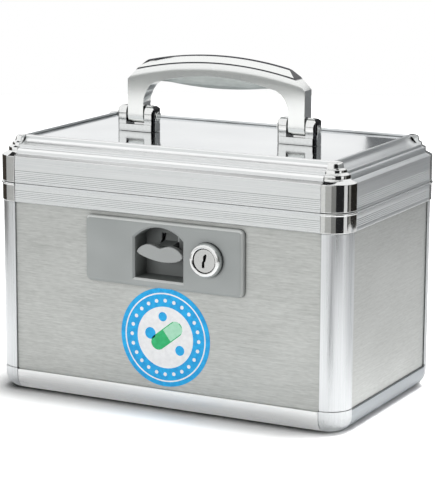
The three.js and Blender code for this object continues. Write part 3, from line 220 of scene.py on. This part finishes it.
def silver_lacquer(name, dark="#eceeec", light="#f7f8f7", roughness=0.1, bow=None):
    """Moulded handle under sprayed silver lacquer and a clear coat. Fine metal flake, soft broad highlights.
    With a bow, its faces roll in towards their upper edge, and a thin dark line, a painted reflection of that
    edge, follows it."""
    material, tree, shader, place = start(name, dark, metallic=1.0, roughness=roughness)
    shader.inputs["Coat Weight"].default_value = 0.4
    shader.inputs["Coat Roughness"].default_value = 0.06
    flake = grain(tree, place, (0.35, 0.35, 0.35), detail=1.0)
    tint(tree, shader, flake, dark, light)
    sheen(tree, shader, flake, low=roughness - 0.03, high=roughness + 0.04)
    if not bow:
        relief(tree, shader, grain(tree, place, (14.0, 14.0, 14.0)), depth_mm=0.05, strength=0.1)
        return material
    centre_height, radius, face_height = (size * MM for size in bow)
    dark_line_inner, dark_line_outer = 0.9 * MM, 0.5 * MM
    reach = from_axis(tree, place, (0, 0, centre_height))
    across = add(tree, "MapRange", {"From Min": radius - face_height, "From Max": radius},
                 {"Value": reach}).outputs[0]
    rolled_in = add(tree, "Math", {"operation": "POWER", 1: 5.0}, {0: across}).outputs[0]
    relief(tree, shader, rolled_in, depth_mm=-0.45, strength=1.0)
    line = add(tree, "MapRange", {"From Min": radius - dark_line_inner, "From Max": radius - dark_line_outer},
               {"Value": reach}).outputs[0]
    base = shader.inputs["Base Color"].links[0].from_socket
    # Painted reflection: a thin dark line along the faces' upper edge.
    base_with_dark_line = add(tree, "Mix", {"data_type": "RGBA", 7: linear("#2e2e34")}, {0: line, 6: base}).outputs[2]
    tree.links.new(base_with_dark_line, shader.inputs["Base Color"])
    return material


def satin_underside(name):
    """The grip's belly, where it turns down, in a darker satin silver: painted shade. Cool grey, dull sheen.
    """
    material, tree, shader, place = start(name, "#b4bab8", metallic=0.8, roughness=0.45)
    belly_grain = grain(tree, place, (9.0, 3.0, 3.0))
    tint(tree, shader, belly_grain, "#b9bfbd", "#cfd4d2")
    sheen(tree, shader, belly_grain, low=0.38, high=0.55)
    return material


def dark_line_finish(name):
    """Painted dark lines on the crown's edges, a painted reflection of them. Graphite grey, dull sheen."""
    material, tree, shader, place = start(name, "#2e2e34", metallic=0.0, roughness=0.4)
    line_mottle = grain(tree, place, (2.0, 2.0, 0.6))
    tint(tree, shader, line_mottle, "#26262b", "#3c3c42")
    return material


def moulded_grey(name, dark="#979b9a", light="#a7abaa", roughness=0.45):
    """Injection moulded ABS, spark-eroded fine. Cool mid grey, matt; its lighter edge copies are painted
    highlight.
    """
    material, tree, shader, place = start(name, dark, metallic=0.0, roughness=roughness)
    texture = grain(tree, place, (0.4, 0.4, 0.4))
    flow = grain(tree, place, (30.0, 30.0, 18.0), detail=1.0)
    tint(tree, shader, flow, dark, light, low=0.2, high=0.8)
    sheen(tree, shader, texture, low=roughness - 0.05, high=roughness + 0.07)
    relief(tree, shader, texture, depth_mm=0.02, strength=0.25)
    return material


def pocket_grey(name, mouth_y, floor_y):
    """The same ABS inside the finger pocket, where the mould texture is coarser. Painted shade darkens it
    from the mouth to the floor."""
    material, tree, shader, place = start(name, "#6d706f", metallic=0.0, roughness=0.6)
    depth = add(tree, "SeparateXYZ", {}, {0: place}).outputs["Y"]
    inwards = add(tree, "MapRange", {"From Min": mouth_y, "From Max": floor_y}, {"Value": depth}).outputs[0]
    pocket_mottle = grain(tree, place, (1.4, 1.4, 1.4), detail=3.0)
    painted_depth_shade = add(tree, "Mix", {"data_type": "FLOAT", 0: 0.1}, {2: inwards, 3: pocket_mottle}).outputs[0]
    tint(tree, shader, painted_depth_shade, "#949896", "#6a6d6c", low=0.0, high=0.9)
    relief(tree, shader, pocket_mottle, depth_mm=0.03, strength=0.2)
    return material


def printed_vinyl(name, dark, light):
    """Self-adhesive vinyl, screen printed and laminated. Flat strong colour with a faint ink mottle."""
    material, tree, shader, place = start(name, light, metallic=0.0, roughness=0.32)
    mottle = grain(tree, place, (2.5, 2.5, 2.5), detail=3.0)
    tint(tree, shader, mottle, dark, light)
    relief(tree, shader, grain(tree, place, (5.0, 5.0, 1.2)), depth_mm=0.015, strength=0.2)
    return material


def zinc_plated_steel(name):
    """Pressed steel, bright zinc plated. Grey with a slight spangle and duller patches."""
    material, tree, shader, place = start(name, "#b4b7b9", metallic=1.0, roughness=0.32)
    spangle = grain(tree, place, (2.0, 2.0, 2.0), detail=3.0)
    tint(tree, shader, spangle, "#a6a9ab", "#c6c9cb")
    sheen(tree, shader, spangle, low=0.24, high=0.42)
    return material


def turned_nickel(name, centre):
    """Nickel plated brass, face turned. Fine rings round the lock's axis over a soft silver."""
    material, tree, shader, place = start(name, "#c9cac8", metallic=1.0, roughness=0.24)
    ring_spacing = 0.5 * MM
    radius = from_axis(tree, place, centre)
    turns = add(tree, "Math", {"operation": "MULTIPLY", 1: 2 * math.pi / ring_spacing},
                {0: radius}).outputs[0]
    rings = add(tree, "Math", {"operation": "SINE"}, {0: turns}).outputs[0]
    level = add(tree, "MapRange", {"From Min": -1.0, "From Max": 1.0}, {"Value": rings}).outputs[0]
    tint(tree, shader, level, "#bdbebc", "#d3d4d2", low=0.0, high=1.0)
    relief(tree, shader, level, depth_mm=0.01, strength=0.3)
    return material


def dark_bore(name):
    """The key slot's brass wards, painted near black as shade, so that the slot reads as deep."""
    material, tree, shader, place = start(name, "#141517", metallic=0.0, roughness=0.6)
    slot_mottle = grain(tree, place, (0.8, 0.8, 0.8))
    tint(tree, shader, slot_mottle, "#0c0d0e", "#26282a")
    return material


lock_face = (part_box("lock_plug")[0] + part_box("lock_plug")[1]) / 2
housing_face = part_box("latch_housing")[0].y
pocket_floor = housing_face + 14.6 * MM
handle_bow = (-23.0, 216.2, 9.4)  # in millimetres: its centre's height, its outer radius, its faces' height
finishes = {
    # Painted light and shade: the side panels' sheet along y is a lighter copy of the sheet along x.
    "sheet_x": brushed_sheet("brushed_aluminium_sheet_along_x", "x", "#a8aaa7", "#d2d4d1"),
    "sheet_y": brushed_sheet("brushed_aluminium_sheet_along_y", "y", "#c6c8c5", "#eaecea"),
    "rail_x": anodised_extrusion("anodised_aluminium_drawn_along_x", "x"),
    "rail_y": anodised_extrusion("anodised_aluminium_drawn_along_y", "y", roughness=0.37),
    "rail_z": anodised_extrusion("anodised_aluminium_drawn_upright", "z", "#dcdfe0", "#e9ebed"),
    # Painted shade: the side feet get a darker copy of the anodised finish.
    "foot_y": anodised_extrusion("anodised_aluminium_side_foot_painted_shade", "y", "#b8bdc1", "#c5cace", 0.37),
    # Painted highlight: the front coves and the front foot get a near white copy.
    "cove_x": anodised_extrusion("anodised_aluminium_painted_highlight_cove", "x", "#f8fafa", "#ffffff"),
    # Painted shade: the front rails' upright bands get a darker copy.
    "band_x": anodised_extrusion("anodised_aluminium_painted_shade_band", "x", "#d7dada", "#e3e5e5"),
    # Painted shade: the ribs' lower flanks get a much darker copy.
    "groove_x": anodised_extrusion("anodised_aluminium_painted_rib_flank_shade", "x", "#9b9f9f", "#a9acac"),
    "chrome": bright_chrome("chrome_plated_zinc"),
    # Painted shade: the brackets' chrome is darkened in their narrow corners.
    "bracket": bright_chrome("chrome_plated_zinc_bracket", shaded=0.5),
    # Painted reflection: a near black chrome for thin dark outlines on the ears' edges and the bezel's lip.
    "chrome_edge": bright_chrome("chrome_plated_zinc_painted_dark_reflection", "#3c3d40", "#48494c"),
    "bezel": bezel_chrome("chrome_plated_zinc_bezel", housing_face),
    "lid_sheet": polished_lid_sheet("polished_aluminium_faced_sheet"),
    "handle": silver_lacquer("silver_lacquered_nylon", bow=handle_bow),
    # Painted highlight: the crown's upward faces get a lighter copy of the lacquer.
    "crown": silver_lacquer("silver_lacquer_painted_highlight_crown", "#f1f3f1", "#fafbfa", 0.08),
    "belly": satin_underside("satin_silver_painted_underside_shade"),
    "painted_line": dark_line_finish("painted_dark_edge_line"),
    "housing": moulded_grey("moulded_grey_abs"),
    # Painted highlight: lighter copies for the housing's upper bevel and the pocket's lower lip.
    "housing_edge": moulded_grey("moulded_grey_abs_painted_highlight_edge", "#ced1cf", "#dadddb", 0.3),
    # Painted light: a lighter copy for the housing's right bevel.
    "housing_side": moulded_grey("moulded_grey_abs_painted_light_side_edge", "#acafad", "#babdbb", 0.4),
    "pad": moulded_grey("moulded_grey_abs_pad", "#a0a3a2", "#b0b3b2", 0.4),
    "pocket": pocket_grey("moulded_grey_abs_painted_pocket_shade", housing_face, pocket_floor),
    "steel": zinc_plated_steel("zinc_plated_steel"),
    "plug": turned_nickel("face_turned_nickel", lock_face),
    "bore": dark_bore("key_slot_painted_shade"),
    "ink_white": printed_vinyl("printed_vinyl_white", "#ecedef", "#f8f9fa"),
    "ink_blue": printed_vinyl("printed_vinyl_blue", "#0a9ade", "#18b6f4"),
    "ink_mint": printed_vinyl("printed_vinyl_mint", "#9fdcbb", "#b4e8cb"),
    "ink_green": printed_vinyl("printed_vinyl_green", "#1fae66", "#2fc07a"),
}


# Pieces made from the model's solids

def choose_none():
    bpy.ops.object.select_all(action="DESELECT")


def choose(*objects):
    """Only these objects are selected, and the first is active."""
    choose_none()
    for item in objects:
        item.select_set(True)
    bpy.context.view_layer.objects.active = objects[0]


def press(piece, name, kind, **settings):
    """Adds a modifier and applies it."""
    modifier = piece.modifiers.new(name, kind)
    for key, value in settings.items():
        setattr(modifier, key, value)
    choose(piece)
    bpy.ops.object.modifier_apply(modifier=modifier.name)


def joined_copy(node, finish):
    """A copy of a solid as one joined skin in one finish."""
    piece = bpy.data.objects.new(node + "_finished", frame["nodes"][node].data.copy())
    bpy.context.scene.collection.objects.link(piece)
    choose(piece)
    bpy.ops.object.mode_set(mode="EDIT")
    bpy.ops.mesh.select_all(action="SELECT")
    bpy.ops.mesh.remove_doubles(threshold=0.002 * MM)
    bpy.ops.mesh.dissolve_limited(angle_limit=math.radians(0.5))
    bpy.ops.object.mode_set(mode="OBJECT")
    piece.data.materials.clear()
    piece.data.materials.append(finishes[finish])
    return piece


def eased(node, finish, easing_mm, sharp=30, steps=2, smooth=46):
    """A finished copy of a solid, its sharp edges eased as a real tool leaves them. An edge is eased from
    the angle sharp on, and shown smooth up to the angle smooth."""
    piece = joined_copy(node, finish)
    press(piece, "eased edges", "BEVEL", width=easing_mm * MM, segments=steps, limit_method="ANGLE",
          angle_limit=math.radians(sharp), harden_normals=False)
    bpy.ops.object.shade_smooth_by_angle(angle=math.radians(smooth))
    press(piece, "broad faces lead", "WEIGHTED_NORMAL", mode="FACE_AREA", weight=100, keep_sharp=True)
    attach(piece, body_of[node])
    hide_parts(node)
    return piece


def dress(piece, finish, chosen):
    """Gives one more finish to the faces that the test picks by their centre and normal."""
    piece.data.materials.append(finishes[finish])
    for face in piece.data.polygons:
        if chosen(face.center, face.normal):
            face.material_index = len(piece.data.materials) - 1


def finish_solid(node, finish):
    """A solid whose shape is right stays as it is, and gets its finish."""
    frame["nodes"][node].data.materials.clear()
    frame["nodes"][node].data.materials.append(finishes[finish])


# Frame, panels and small metal pieces

cove_foot = 128 * MM
ear_foot = 152 * MM


def in_cove(centre, normal):
    return centre.z > cove_foot


def on_band(centre, normal):
    return normal.y < -0.9


def in_groove(centre, normal):
    """The lower flank of each rib, which gets painted shade."""
    return normal.y < -0.85 and -0.5 < normal.z < -0.1


def on_ear_edge(centre, normal):
    """The bracket ears' eased upright edges, in near black chrome: a painted reflection of the room's dark
    side.
    """
    return 0.2 < abs(normal.x) < 0.97 and centre.z > ear_foot


# The front foot gets the near white copy, a painted highlight.
foot_finishes = {"front": "cove_x", "back": "rail_x", "left": "foot_y", "right": "foot_y"}
for side, foot_finish in foot_finishes.items():
    run = "x" if side in ("front", "back") else "y"
    eased(f"bottom_rail_{side}", foot_finish, 0.3)
    for rim in ("rim", "lid"):
        rail = eased(f"{rim}_rail_{side}", "rail_" + run, 0.08, sharp=28, steps=1)
        if side == "front":
            # Painted highlight on the coves, painted shade on the upright bands and the ribs' lower flanks.
            dress(rail, "cove_x", in_cove)
            dress(rail, "band_x", on_band)
            dress(rail, "groove_x", in_groove)
    finish_solid(f"{side}_panel", "sheet_" + run)
finish_solid("bottom_panel", "sheet_x")
finish_solid("lid_panel", "lid_sheet")

small_pieces = {  # the finish, slot, easing in millimetres and bevel steps of the nodes whose names start so
    "lid_corner": ("chrome", "chrome", 0.18, 2),
    "rim_corner": ("chrome", "chrome", 0.18, 2),
    "post": ("rail_z", "anodised_frame", 0.3, 2),
    "bottom_cap": ("rail_z", "anodised_frame", 0.2, 2),
    "handle_bracket": ("bracket", "chrome", 0.6, 3),
    "handle_pin": ("chrome", "chrome", 0.2, 2),
    "hinge": ("steel", "steel", 0.15, 2),
}
steel_nodes = (
    "lid_keeper", "latch_pin", "lock_nut", "lock_cam", "cam_screw", "housing_screw", "bracket_screw")
for node in sorted(frame["nodes"]):
    for first_words, (finish, slot, easing_mm, steps) in small_pieces.items():
        if node.startswith(first_words):
            piece = eased(node, finish, easing_mm, steps=steps)
            if finish == "bracket":
                dress(piece, "chrome_edge", on_ear_edge)
    if node.startswith(steel_nodes):
        finish_solid(node, "steel")


# Handle

belly_foot, belly_half_length = 175 * MM, 36 * MM
crown_foot, crown_half_length, crown_flat = 176 * MM, 48 * MM, 1.3 * MM


def on_belly(centre, normal):
    return normal.z < -0.2 and abs(centre.x) < belly_half_length and centre.z > belly_foot


def within_crown(centre):
    return centre.z > crown_foot and abs(centre.x) < crown_half_length


def on_crown(centre, normal):
    return within_crown(centre) and normal.z > 0.1 and abs(normal.y) > 0.25


def on_dark_line(centre, normal):
    """The crown's two lower edges, and the narrow flats that meet along its top, which get painted dark
    lines.
    """
    lengthwise = normal.z > 0.05 and abs(normal.x) < 0.35
    at_edge = 0.84 < abs(normal.y) < 0.996 or abs(centre.y) < crown_flat
    return within_crown(centre) and lengthwise and at_edge


grip = eased("handle_grip", "handle", 0.9, steps=3, smooth=40)
dress(grip, "belly", on_belly)
dress(grip, "crown", on_crown)
dress(grip, "painted_line", on_dark_line)


# Latch and lock

pocket_x = -1.8 * MM
edge_depth = 1.2 * MM  # how far an eased edge, with its painted highlight, reaches in from the housing's face
bevel_depth, bevel_top, bevel_right = 2.4 * MM, 107 * MM, 48 * MM
mouth_foot = 80 * MM
pad_depth = 6.5 * MM
bezel_lip, keyway_reach = 8 * MM, 4.7 * MM  # radii round the lock's axis


def on_housing_bevel(centre, normal):
    return centre.y < housing_face + bevel_depth and normal.y < -0.2


def on_housing_top(centre, normal):
    """The housing's bevel where it turns up, which gets painted highlight."""
    return on_housing_bevel(centre, normal) and normal.z > 0.3 and centre.z > bevel_top


def on_housing_side(centre, normal):
    """The housing's bevel where it turns to the right, which gets painted light."""
    return on_housing_bevel(centre, normal) and normal.x > 0.3 and centre.x > bevel_right


def within_mouth(centre, half_width_mm, foot_mm, top_mm):
    return abs(centre.x - pocket_x) < half_width_mm * MM and foot_mm * MM < centre.z < top_mm * MM


def on_mouth_edge(centre, normal):
    """The eased edge along the foot of the finger pocket's mouth, which gets painted highlight."""
    low = centre.z < mouth_foot and centre.y < housing_face + edge_depth
    return low and within_mouth(centre, 16.4, 75.6, 107.6) and -0.97 < normal.y < -0.1


def in_pocket(centre, normal):
    deep = housing_face + edge_depth < centre.y < pocket_floor + 0.1 * MM
    return deep and within_mouth(centre, 15.6, 76.6, 106.9)


def on_lever_arm(centre, normal):
    return centre.y > housing_face + pad_depth


def from_lock_axis(centre):
    offset = centre - lock_face
    return math.hypot(offset.x, offset.z)


def on_bezel_lip(centre, normal):
    """The bezel's inner lip round the plug, in near black chrome as a painted reflection."""
    return abs(normal.y) < 0.5 and from_lock_axis(centre) < bezel_lip


def on_bezel_dome(centre, normal):
    """The dome outside the lip, down to the plate."""
    return abs(normal.y) < 0.8 and from_lock_axis(centre) > bezel_lip


def in_keyway(centre, normal):
    return abs(normal.y) < 0.3 and from_lock_axis(centre) < keyway_reach


housing = eased("latch_housing", "housing", 0.6, steps=3)
dress(housing, "pocket", in_pocket)
dress(housing, "housing_side", on_housing_side)
dress(housing, "housing_edge", on_housing_top)
dress(housing, "housing_edge", on_mouth_edge)
lever = eased("latch_lever", "pad", 0.45, steps=3)
# The lever arm, seen inside the pocket, gets the pocket's painted shade.
dress(lever, "pocket", on_lever_arm)
barrel = eased("lock_barrel", "chrome", 0.15)
dress(barrel, "chrome_edge", on_bezel_lip)
dress(barrel, "bezel", on_bezel_dome)
plug = eased("lock_plug", "plug", 0.12)
dress(plug, "bore", in_keyway)

# The torsion spring, whose first leg rests on the pocket wall and last leg on the lever, is one smooth shaded
# copy in zinc plated steel with its placement baked into its mesh.
spring = joined_copy("latch_spring", "steel")
bpy.ops.object.shade_smooth_by_angle(angle=math.radians(60))
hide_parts("latch_spring")
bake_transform(spring)


# Emblem: a round vinyl label on the front panel

label_centre = Vector((1.25, 0.0, 43.3)) * MM
label_centre.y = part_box("front_panel")[0].y
label_radius = 28.6 * MM
line_outside, line_inside, field_radius = 25.9 * MM, 25.1 * MM, 17.9 * MM
dot_circle, dot_radius, dot_count = 21.5 * MM, 1.1 * MM, 24
vinyl, ink = 0.12 * MM, 0.03 * MM
upright = math.pi / 2


def solid_print(thickness):
    """In edit mode, the flat print is drawn out to its thickness, and its faces turned outwards."""
    bpy.ops.mesh.select_all(action="SELECT")
    bpy.ops.mesh.extrude_region_move(TRANSFORM_OT_translate={"value": (0, -thickness, 0)})
    bpy.ops.mesh.select_all(action="SELECT")
    bpy.ops.mesh.normals_make_consistent(inside=False)
    bpy.ops.object.mode_set(mode="OBJECT")


def label_piece(name, finish_names):
    """The print just made, named, given its finishes and put on the body."""
    piece = bpy.context.object
    piece.name = piece.data.name = name
    bpy.ops.object.transform_apply(location=True, rotation=True, scale=True)
    for finish in finish_names:
        piece.data.materials.append(finishes[finish])
    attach(piece, "body")
    return piece


def disc(name, radius, thickness, finish_names, rings=(), centre=(0, 0), lift=0.0, vertices=96):
    """A thin disc on the front panel, inset to each of the ring radii in turn."""
    choose_none()
    where = label_centre + Vector((centre[0], -lift, centre[1]))
    bpy.ops.mesh.primitive_circle_add(vertices=vertices, radius=radius, fill_type="NGON", location=where,
                                      rotation=(upright, 0, 0))
    bpy.ops.object.mode_set(mode="EDIT")
    bpy.ops.mesh.select_all(action="SELECT")
    reached = radius
    for ring in rings:
        bpy.ops.mesh.inset(thickness=reached - ring)
        reached = ring
    solid_print(thickness)
    return label_piece(name, finish_names)


def capsule_print(name, length, width, tilt, centre):
    """A printed capsule, one half green and the other pale, laid on the label at a tilt."""
    round_end, rim = 0.498 * width, 0.55 * MM
    choose_none()
    middle = label_centre + Vector((centre[0], -vinyl, centre[1]))
    bpy.ops.mesh.primitive_plane_add(size=1, location=middle, rotation=(upright, tilt, 0))
    bpy.context.object.scale = (length, width, 1)
    bpy.ops.object.transform_apply(location=True, rotation=True, scale=True)
    along = Vector((math.cos(tilt), 0, -math.sin(tilt)))
    above = Vector((math.sin(tilt), 0, math.cos(tilt)))
    bpy.ops.object.mode_set(mode="EDIT")
    bpy.ops.mesh.select_all(action="SELECT")
    bpy.ops.mesh.bevel(offset=round_end, segments=10, affect="VERTICES")
    bpy.ops.mesh.select_all(action="SELECT")
    bpy.ops.mesh.bisect(plane_co=middle, plane_no=along)
    bpy.ops.mesh.select_all(action="SELECT")
    bpy.ops.mesh.inset(thickness=rim)
    solid_print(ink)
    piece = label_piece(name, ["ink_green", "ink_mint"])
    inside = 0.5 * MM
    for face in piece.data.polygons:
        offset = face.center - middle
        pale_half = 0 < offset.dot(along) < length / 2 - inside
        on_print = abs(offset.dot(above)) < width / 2 - inside and abs(face.normal.y) > 0.9
        if pale_half and on_print:
            face.material_index = 1
    return piece


label = disc("medicine_label", label_radius, vinyl, ["ink_blue", "ink_white"],
             rings=(line_outside, line_inside, field_radius))
for face in label.data.polygons:
    reach = max(math.hypot(p.x - label_centre.x, p.z - label_centre.z) for p in
                (label.data.vertices[v].co for v in face.vertices))
    slack = 0.3 * MM
    if reach < field_radius + slack or abs(reach - line_outside) < slack:
        face.material_index = 1

for i, (x, z, radius) in enumerate([(-9.6, 1.6, 3.4), (9.4, -6.6, 2.9), (-1.6, 12.0, 2.7)]):
    disc(f"label_tablet_{i + 1}", radius * MM, ink, ["ink_blue"], centre=(x * MM, z * MM), lift=vinyl,
         vertices=40)
dots = []
for i in range(dot_count):
    turn = i * 2 * math.pi / dot_count
    dots.append(disc(f"label_dot_{i + 1}", dot_radius, ink, ["ink_white"], lift=vinyl, vertices=20,
                     centre=(dot_circle * math.cos(turn), dot_circle * math.sin(turn))))
choose(*dots)
bpy.ops.object.join()
bpy.context.object.name = "label_border_dots"
capsule_print("label_capsule", 23.0 * MM, 9.0 * MM, math.radians(-38), (1.0 * MM, 1.2 * MM))


# Camera, light and floor

def aim_camera():
    """The camera as it was solved from the case's straight edges."""
    yaw, pitch, roll = math.radians(27.396), math.radians(11.745), 0.005
    place = (0.5700, -1.09941, 0.3408)
    ahead = Vector((-math.sin(yaw) * math.cos(pitch), math.cos(yaw) * math.cos(pitch), -math.sin(pitch)))
    right = Vector((math.cos(yaw), math.sin(yaw), 0))
    up = right.cross(ahead)
    tilted_right = math.cos(roll) * right + math.sin(roll) * up
    tilted_up = -math.sin(roll) * right + math.cos(roll) * up
    data = bpy.data.cameras.new("camera")
    data.sensor_fit = "VERTICAL"
    data.sensor_height = 36
    data.lens = 155.9
    data.clip_end = 50
    camera = bpy.data.objects.new("camera", data)
    turned = Matrix((tilted_right, tilted_up, -ahead)).transposed().to_4x4()
    camera.matrix_world = Matrix.Translation(place) @ turned
    bpy.context.scene.collection.objects.link(camera)
    bpy.context.scene.camera = camera


def softbox(name, place, target, width, height, watts):
    """A soft lamp that lights the case and isn't mirrored in it."""
    data = bpy.data.lights.new(name, "AREA")
    data.shape = "RECTANGLE"
    data.size, data.size_y, data.energy = width, height, watts
    lamp = bpy.data.objects.new(name, data)
    lamp.location = place
    lamp.rotation_euler = (Vector(target) - Vector(place)).to_track_quat("-Z", "Y").to_euler()
    lamp.visible_glossy = False
    bpy.context.scene.collection.objects.link(lamp)


def hang(name, place, turn, width, height, shade):
    """A studio card that shows only in reflections."""
    choose_none()
    bpy.ops.mesh.primitive_plane_add(size=1, location=place, rotation=turn)
    card = bpy.context.object
    card.name = name
    card.scale = (width, height, 1)
    card.data.materials.append(start(name + "_cloth", shade, metallic=0.0, roughness=1.0)[0])
    card.visible_camera = card.visible_diffuse = card.visible_shadow = card.visible_transmission = False


def flag(name, seen_from, low_bearing, high_bearing, distance, height, foot=0.0, shade="#1a1a1c"):
    """A card that stands beside the case. It covers the bearings from low to high as seen from one spot, at
    this distance."""
    a = math.radians((low_bearing + high_bearing) / 2)
    width = 2 * distance * math.tan(math.radians(high_bearing - low_bearing) / 2)
    middle = (seen_from[0] + distance * math.cos(a), seen_from[1] + distance * math.sin(a), foot + height / 2)
    hang(name, middle, (upright, 0, a + math.pi / 2), width, height, shade)


def lid_flag(name, place, width, depth, shade="#1a1a1c"):
    """A dark card that lies level over the case, to draw thin dark lines along its rounded tops."""
    hang(name, place, (0, 0, 0), width, depth, shade)


def floor_strip(name, seen_from, bearing, near, far, width, shade):
    """A dark strip on the floor, seen only in reflections: painted shade, running out from one spot."""
    a, middle, lift = math.radians(bearing), (near + far) / 2, 0.0008
    place = (seen_from[0] + middle * math.cos(a), seen_from[1] + middle * math.sin(a), lift)
    hang(name, place, (0, 0, a), far - near, width, shade)


def white_floor():
    """A white table. The camera sees it white with a painted contact shadow that leans to the front left, and
    the case mirrors it painted a little darker, more so towards the back right."""
    choose_none()
    bpy.ops.mesh.primitive_circle_add(vertices=128, radius=1.3, fill_type="NGON", location=(0, 0, -0.0002))
    floor = bpy.context.object
    floor.name = "floor"
    material, tree, _, place = start("white_painted_table", "#f0f0f0", metallic=0.0, roughness=0.9)
    path = add(tree, "LightPath", {})
    lean = add(tree, "CombineXYZ", {"X": 0.55, "Y": 0.35, "Z": 0.76}).outputs[0]
    near = add(tree, "AmbientOcclusion", {"Distance": 0.032, "samples": 12}, {"Normal": lean}).outputs["AO"]
    parts = add(tree, "SeparateXYZ", {}, {0: place})
    across = add(tree, "Math", {"operation": "MULTIPLY_ADD", 1: 0.5},
                 {0: parts.outputs["X"], 2: parts.outputs["Y"]}).outputs[0]
    under = add(tree, "MapRange", {"From Min": 0.17, "From Max": 0.8, "To Min": 0.02, "To Max": 1.9},
                {"Value": near}).outputs[0]
    open_side = add(tree, "MapRange", {"From Min": -0.02, "From Max": 0.04, "To Min": 0.0, "To Max": 0.85},
                    {"Value": across}).outputs[0]
    contact = add(tree, "Math", {"operation": "MAXIMUM"}, {0: under, 1: open_side}).outputs[0]
    front = add(tree, "MapRange", {"From Min": -0.45, "From Max": -0.1, "To Min": 0.87, "To Max": 1.04},
                {"Value": across}).outputs[0]
    shaded = add(tree, "MapRange", {"From Min": 0.05, "From Max": 0.19, "To Min": 1.0, "To Max": 0.62},
                 {"Value": across}).outputs[0]
    seen_in_case = add(tree, "Math", {"operation": "MULTIPLY"}, {0: front, 1: shaded}).outputs[0]
    elsewhere = 0.72
    mirrored = add(tree, "Mix", {"data_type": "FLOAT", 2: elsewhere},
                   {0: path.outputs["Is Glossy Ray"], 3: seen_in_case}).outputs[0]
    level = add(tree, "Mix", {"data_type": "FLOAT"},
                {0: path.outputs["Is Camera Ray"], 2: mirrored, 3: contact}).outputs[0]
    paint = add(tree, "BsdfDiffuse", {}, {"Color": level})
    tree.links.new(paint.outputs[0], tree.nodes["Material Output"].inputs["Surface"])
    floor.data.materials.append(material)


def light_the_room():
    """A plain white room with three soft lamps."""
    world = bpy.data.worlds.new("studio")
    bpy.context.scene.world = world
    world.use_nodes = True
    tree = world.node_tree
    tree.nodes.clear()
    path = add(tree, "LightPath", {})
    seen = path.outputs["Is Camera Ray"]
    for ray in ("Is Glossy Ray", "Is Transmission Ray"):
        seen = add(tree, "Math", {"operation": "MAXIMUM"}, {0: seen, 1: path.outputs[ray]}).outputs[0]
    soft = add(tree, "Background", {"Color": linear("#ffffff"), "Strength": 0.16})
    white = add(tree, "Background", {"Color": linear("#ffffff"), "Strength": 1.0})
    mixed = add(tree, "MixShader", {}, {0: seen, 1: soft.outputs[0], 2: white.outputs[0]})
    add(tree, "OutputWorld", {}, {"Surface": mixed.outputs[0]})
    softbox("overhead_softbox", (0.15, 0.4, 1.55), (0, 0, 0.05), width=1.0, height=1.0, watts=28)
    softbox("front_softbox", (-0.5, -1.7, 0.38), (0, 0, 0.1), width=1.2, height=0.7, watts=17)
    softbox("right_softbox", (1.7, 0.5, 0.38), (0, 0, 0.1), width=1.0, height=0.7, watts=9)


def stand_the_cards():
    """Each card gives one dark or grey stripe in the plated corners, rails, posts or handle."""
    right_corner, left_corner, middle = (0.1, -0.055), (-0.1, -0.055), (0.0, 0.0)
    flag("flag_beside_camera", right_corner, -51, -14, 0.36, 0.48, foot=0.02)
    flag("flag_right_edge", right_corner, 2, 9, 0.4, 0.13, foot=0.035)
    flag("flag_right_grey", right_corner, 9, 21, 0.41, 0.13, foot=0.035, shade="#868581")
    flag("flag_right", right_corner, 21, 58, 0.4, 0.13, foot=0.035, shade="#1e1b17")
    flag("card_low_a", right_corner, -112, -90, 0.37, 0.08, foot=0.03, shade="#dcdcda")
    flag("card_low_b", right_corner, -91, -69, 0.36, 0.08, foot=0.03, shade="#b6b6b4")
    flag("card_low_c", right_corner, -70, -50, 0.35, 0.08, foot=0.03, shade="#898987")
    flag("flag_left", left_corner, 150, 194, 0.4, 0.17, shade="#3a342f")
    flag("card_right_back", middle, 47, 84, 0.62, 0.47, shade="#808284")
    flag("card_back", middle, 84, 106, 0.66, 0.54, shade="#747678")
    flag("card_low_front", middle, -165, -135, 0.5, 0.085, shade="#b9b9b7")
    flag("card_before_grip", middle, -122, -98, 0.5, 0.041, foot=0.106, shade="#949695")
    flag("card_before_left_leg", middle, -136, -122, 0.5, 0.037, foot=0.11, shade="#949695")
    floor_strip("strip_dark", right_corner, -64, 0.16, 0.5, 0.085, "#5b5d60")
    floor_strip("strip_right", right_corner, 33, 0.2, 0.6, 0.12, "#b8babc")
    lid_flag("flag_above", (0.0, 0.18, 0.95), 0.9, 0.25)
    lid_flag("flag_behind_left", (-0.56, 0.33, 0.69), 0.3, 0.5)
    half_wall = 7.6
    for bearing in range(-50, 65, 15):
        flag(f"wall_{bearing + 180}", middle, bearing - half_wall, bearing + half_wall, 1.6, 0.8, foot=0.1,
             shade="#9a9c9d")


aim_camera()
white_floor()
light_the_room()
stand_the_cards()
bpy.context.scene.view_settings.view_transform = "Standard"
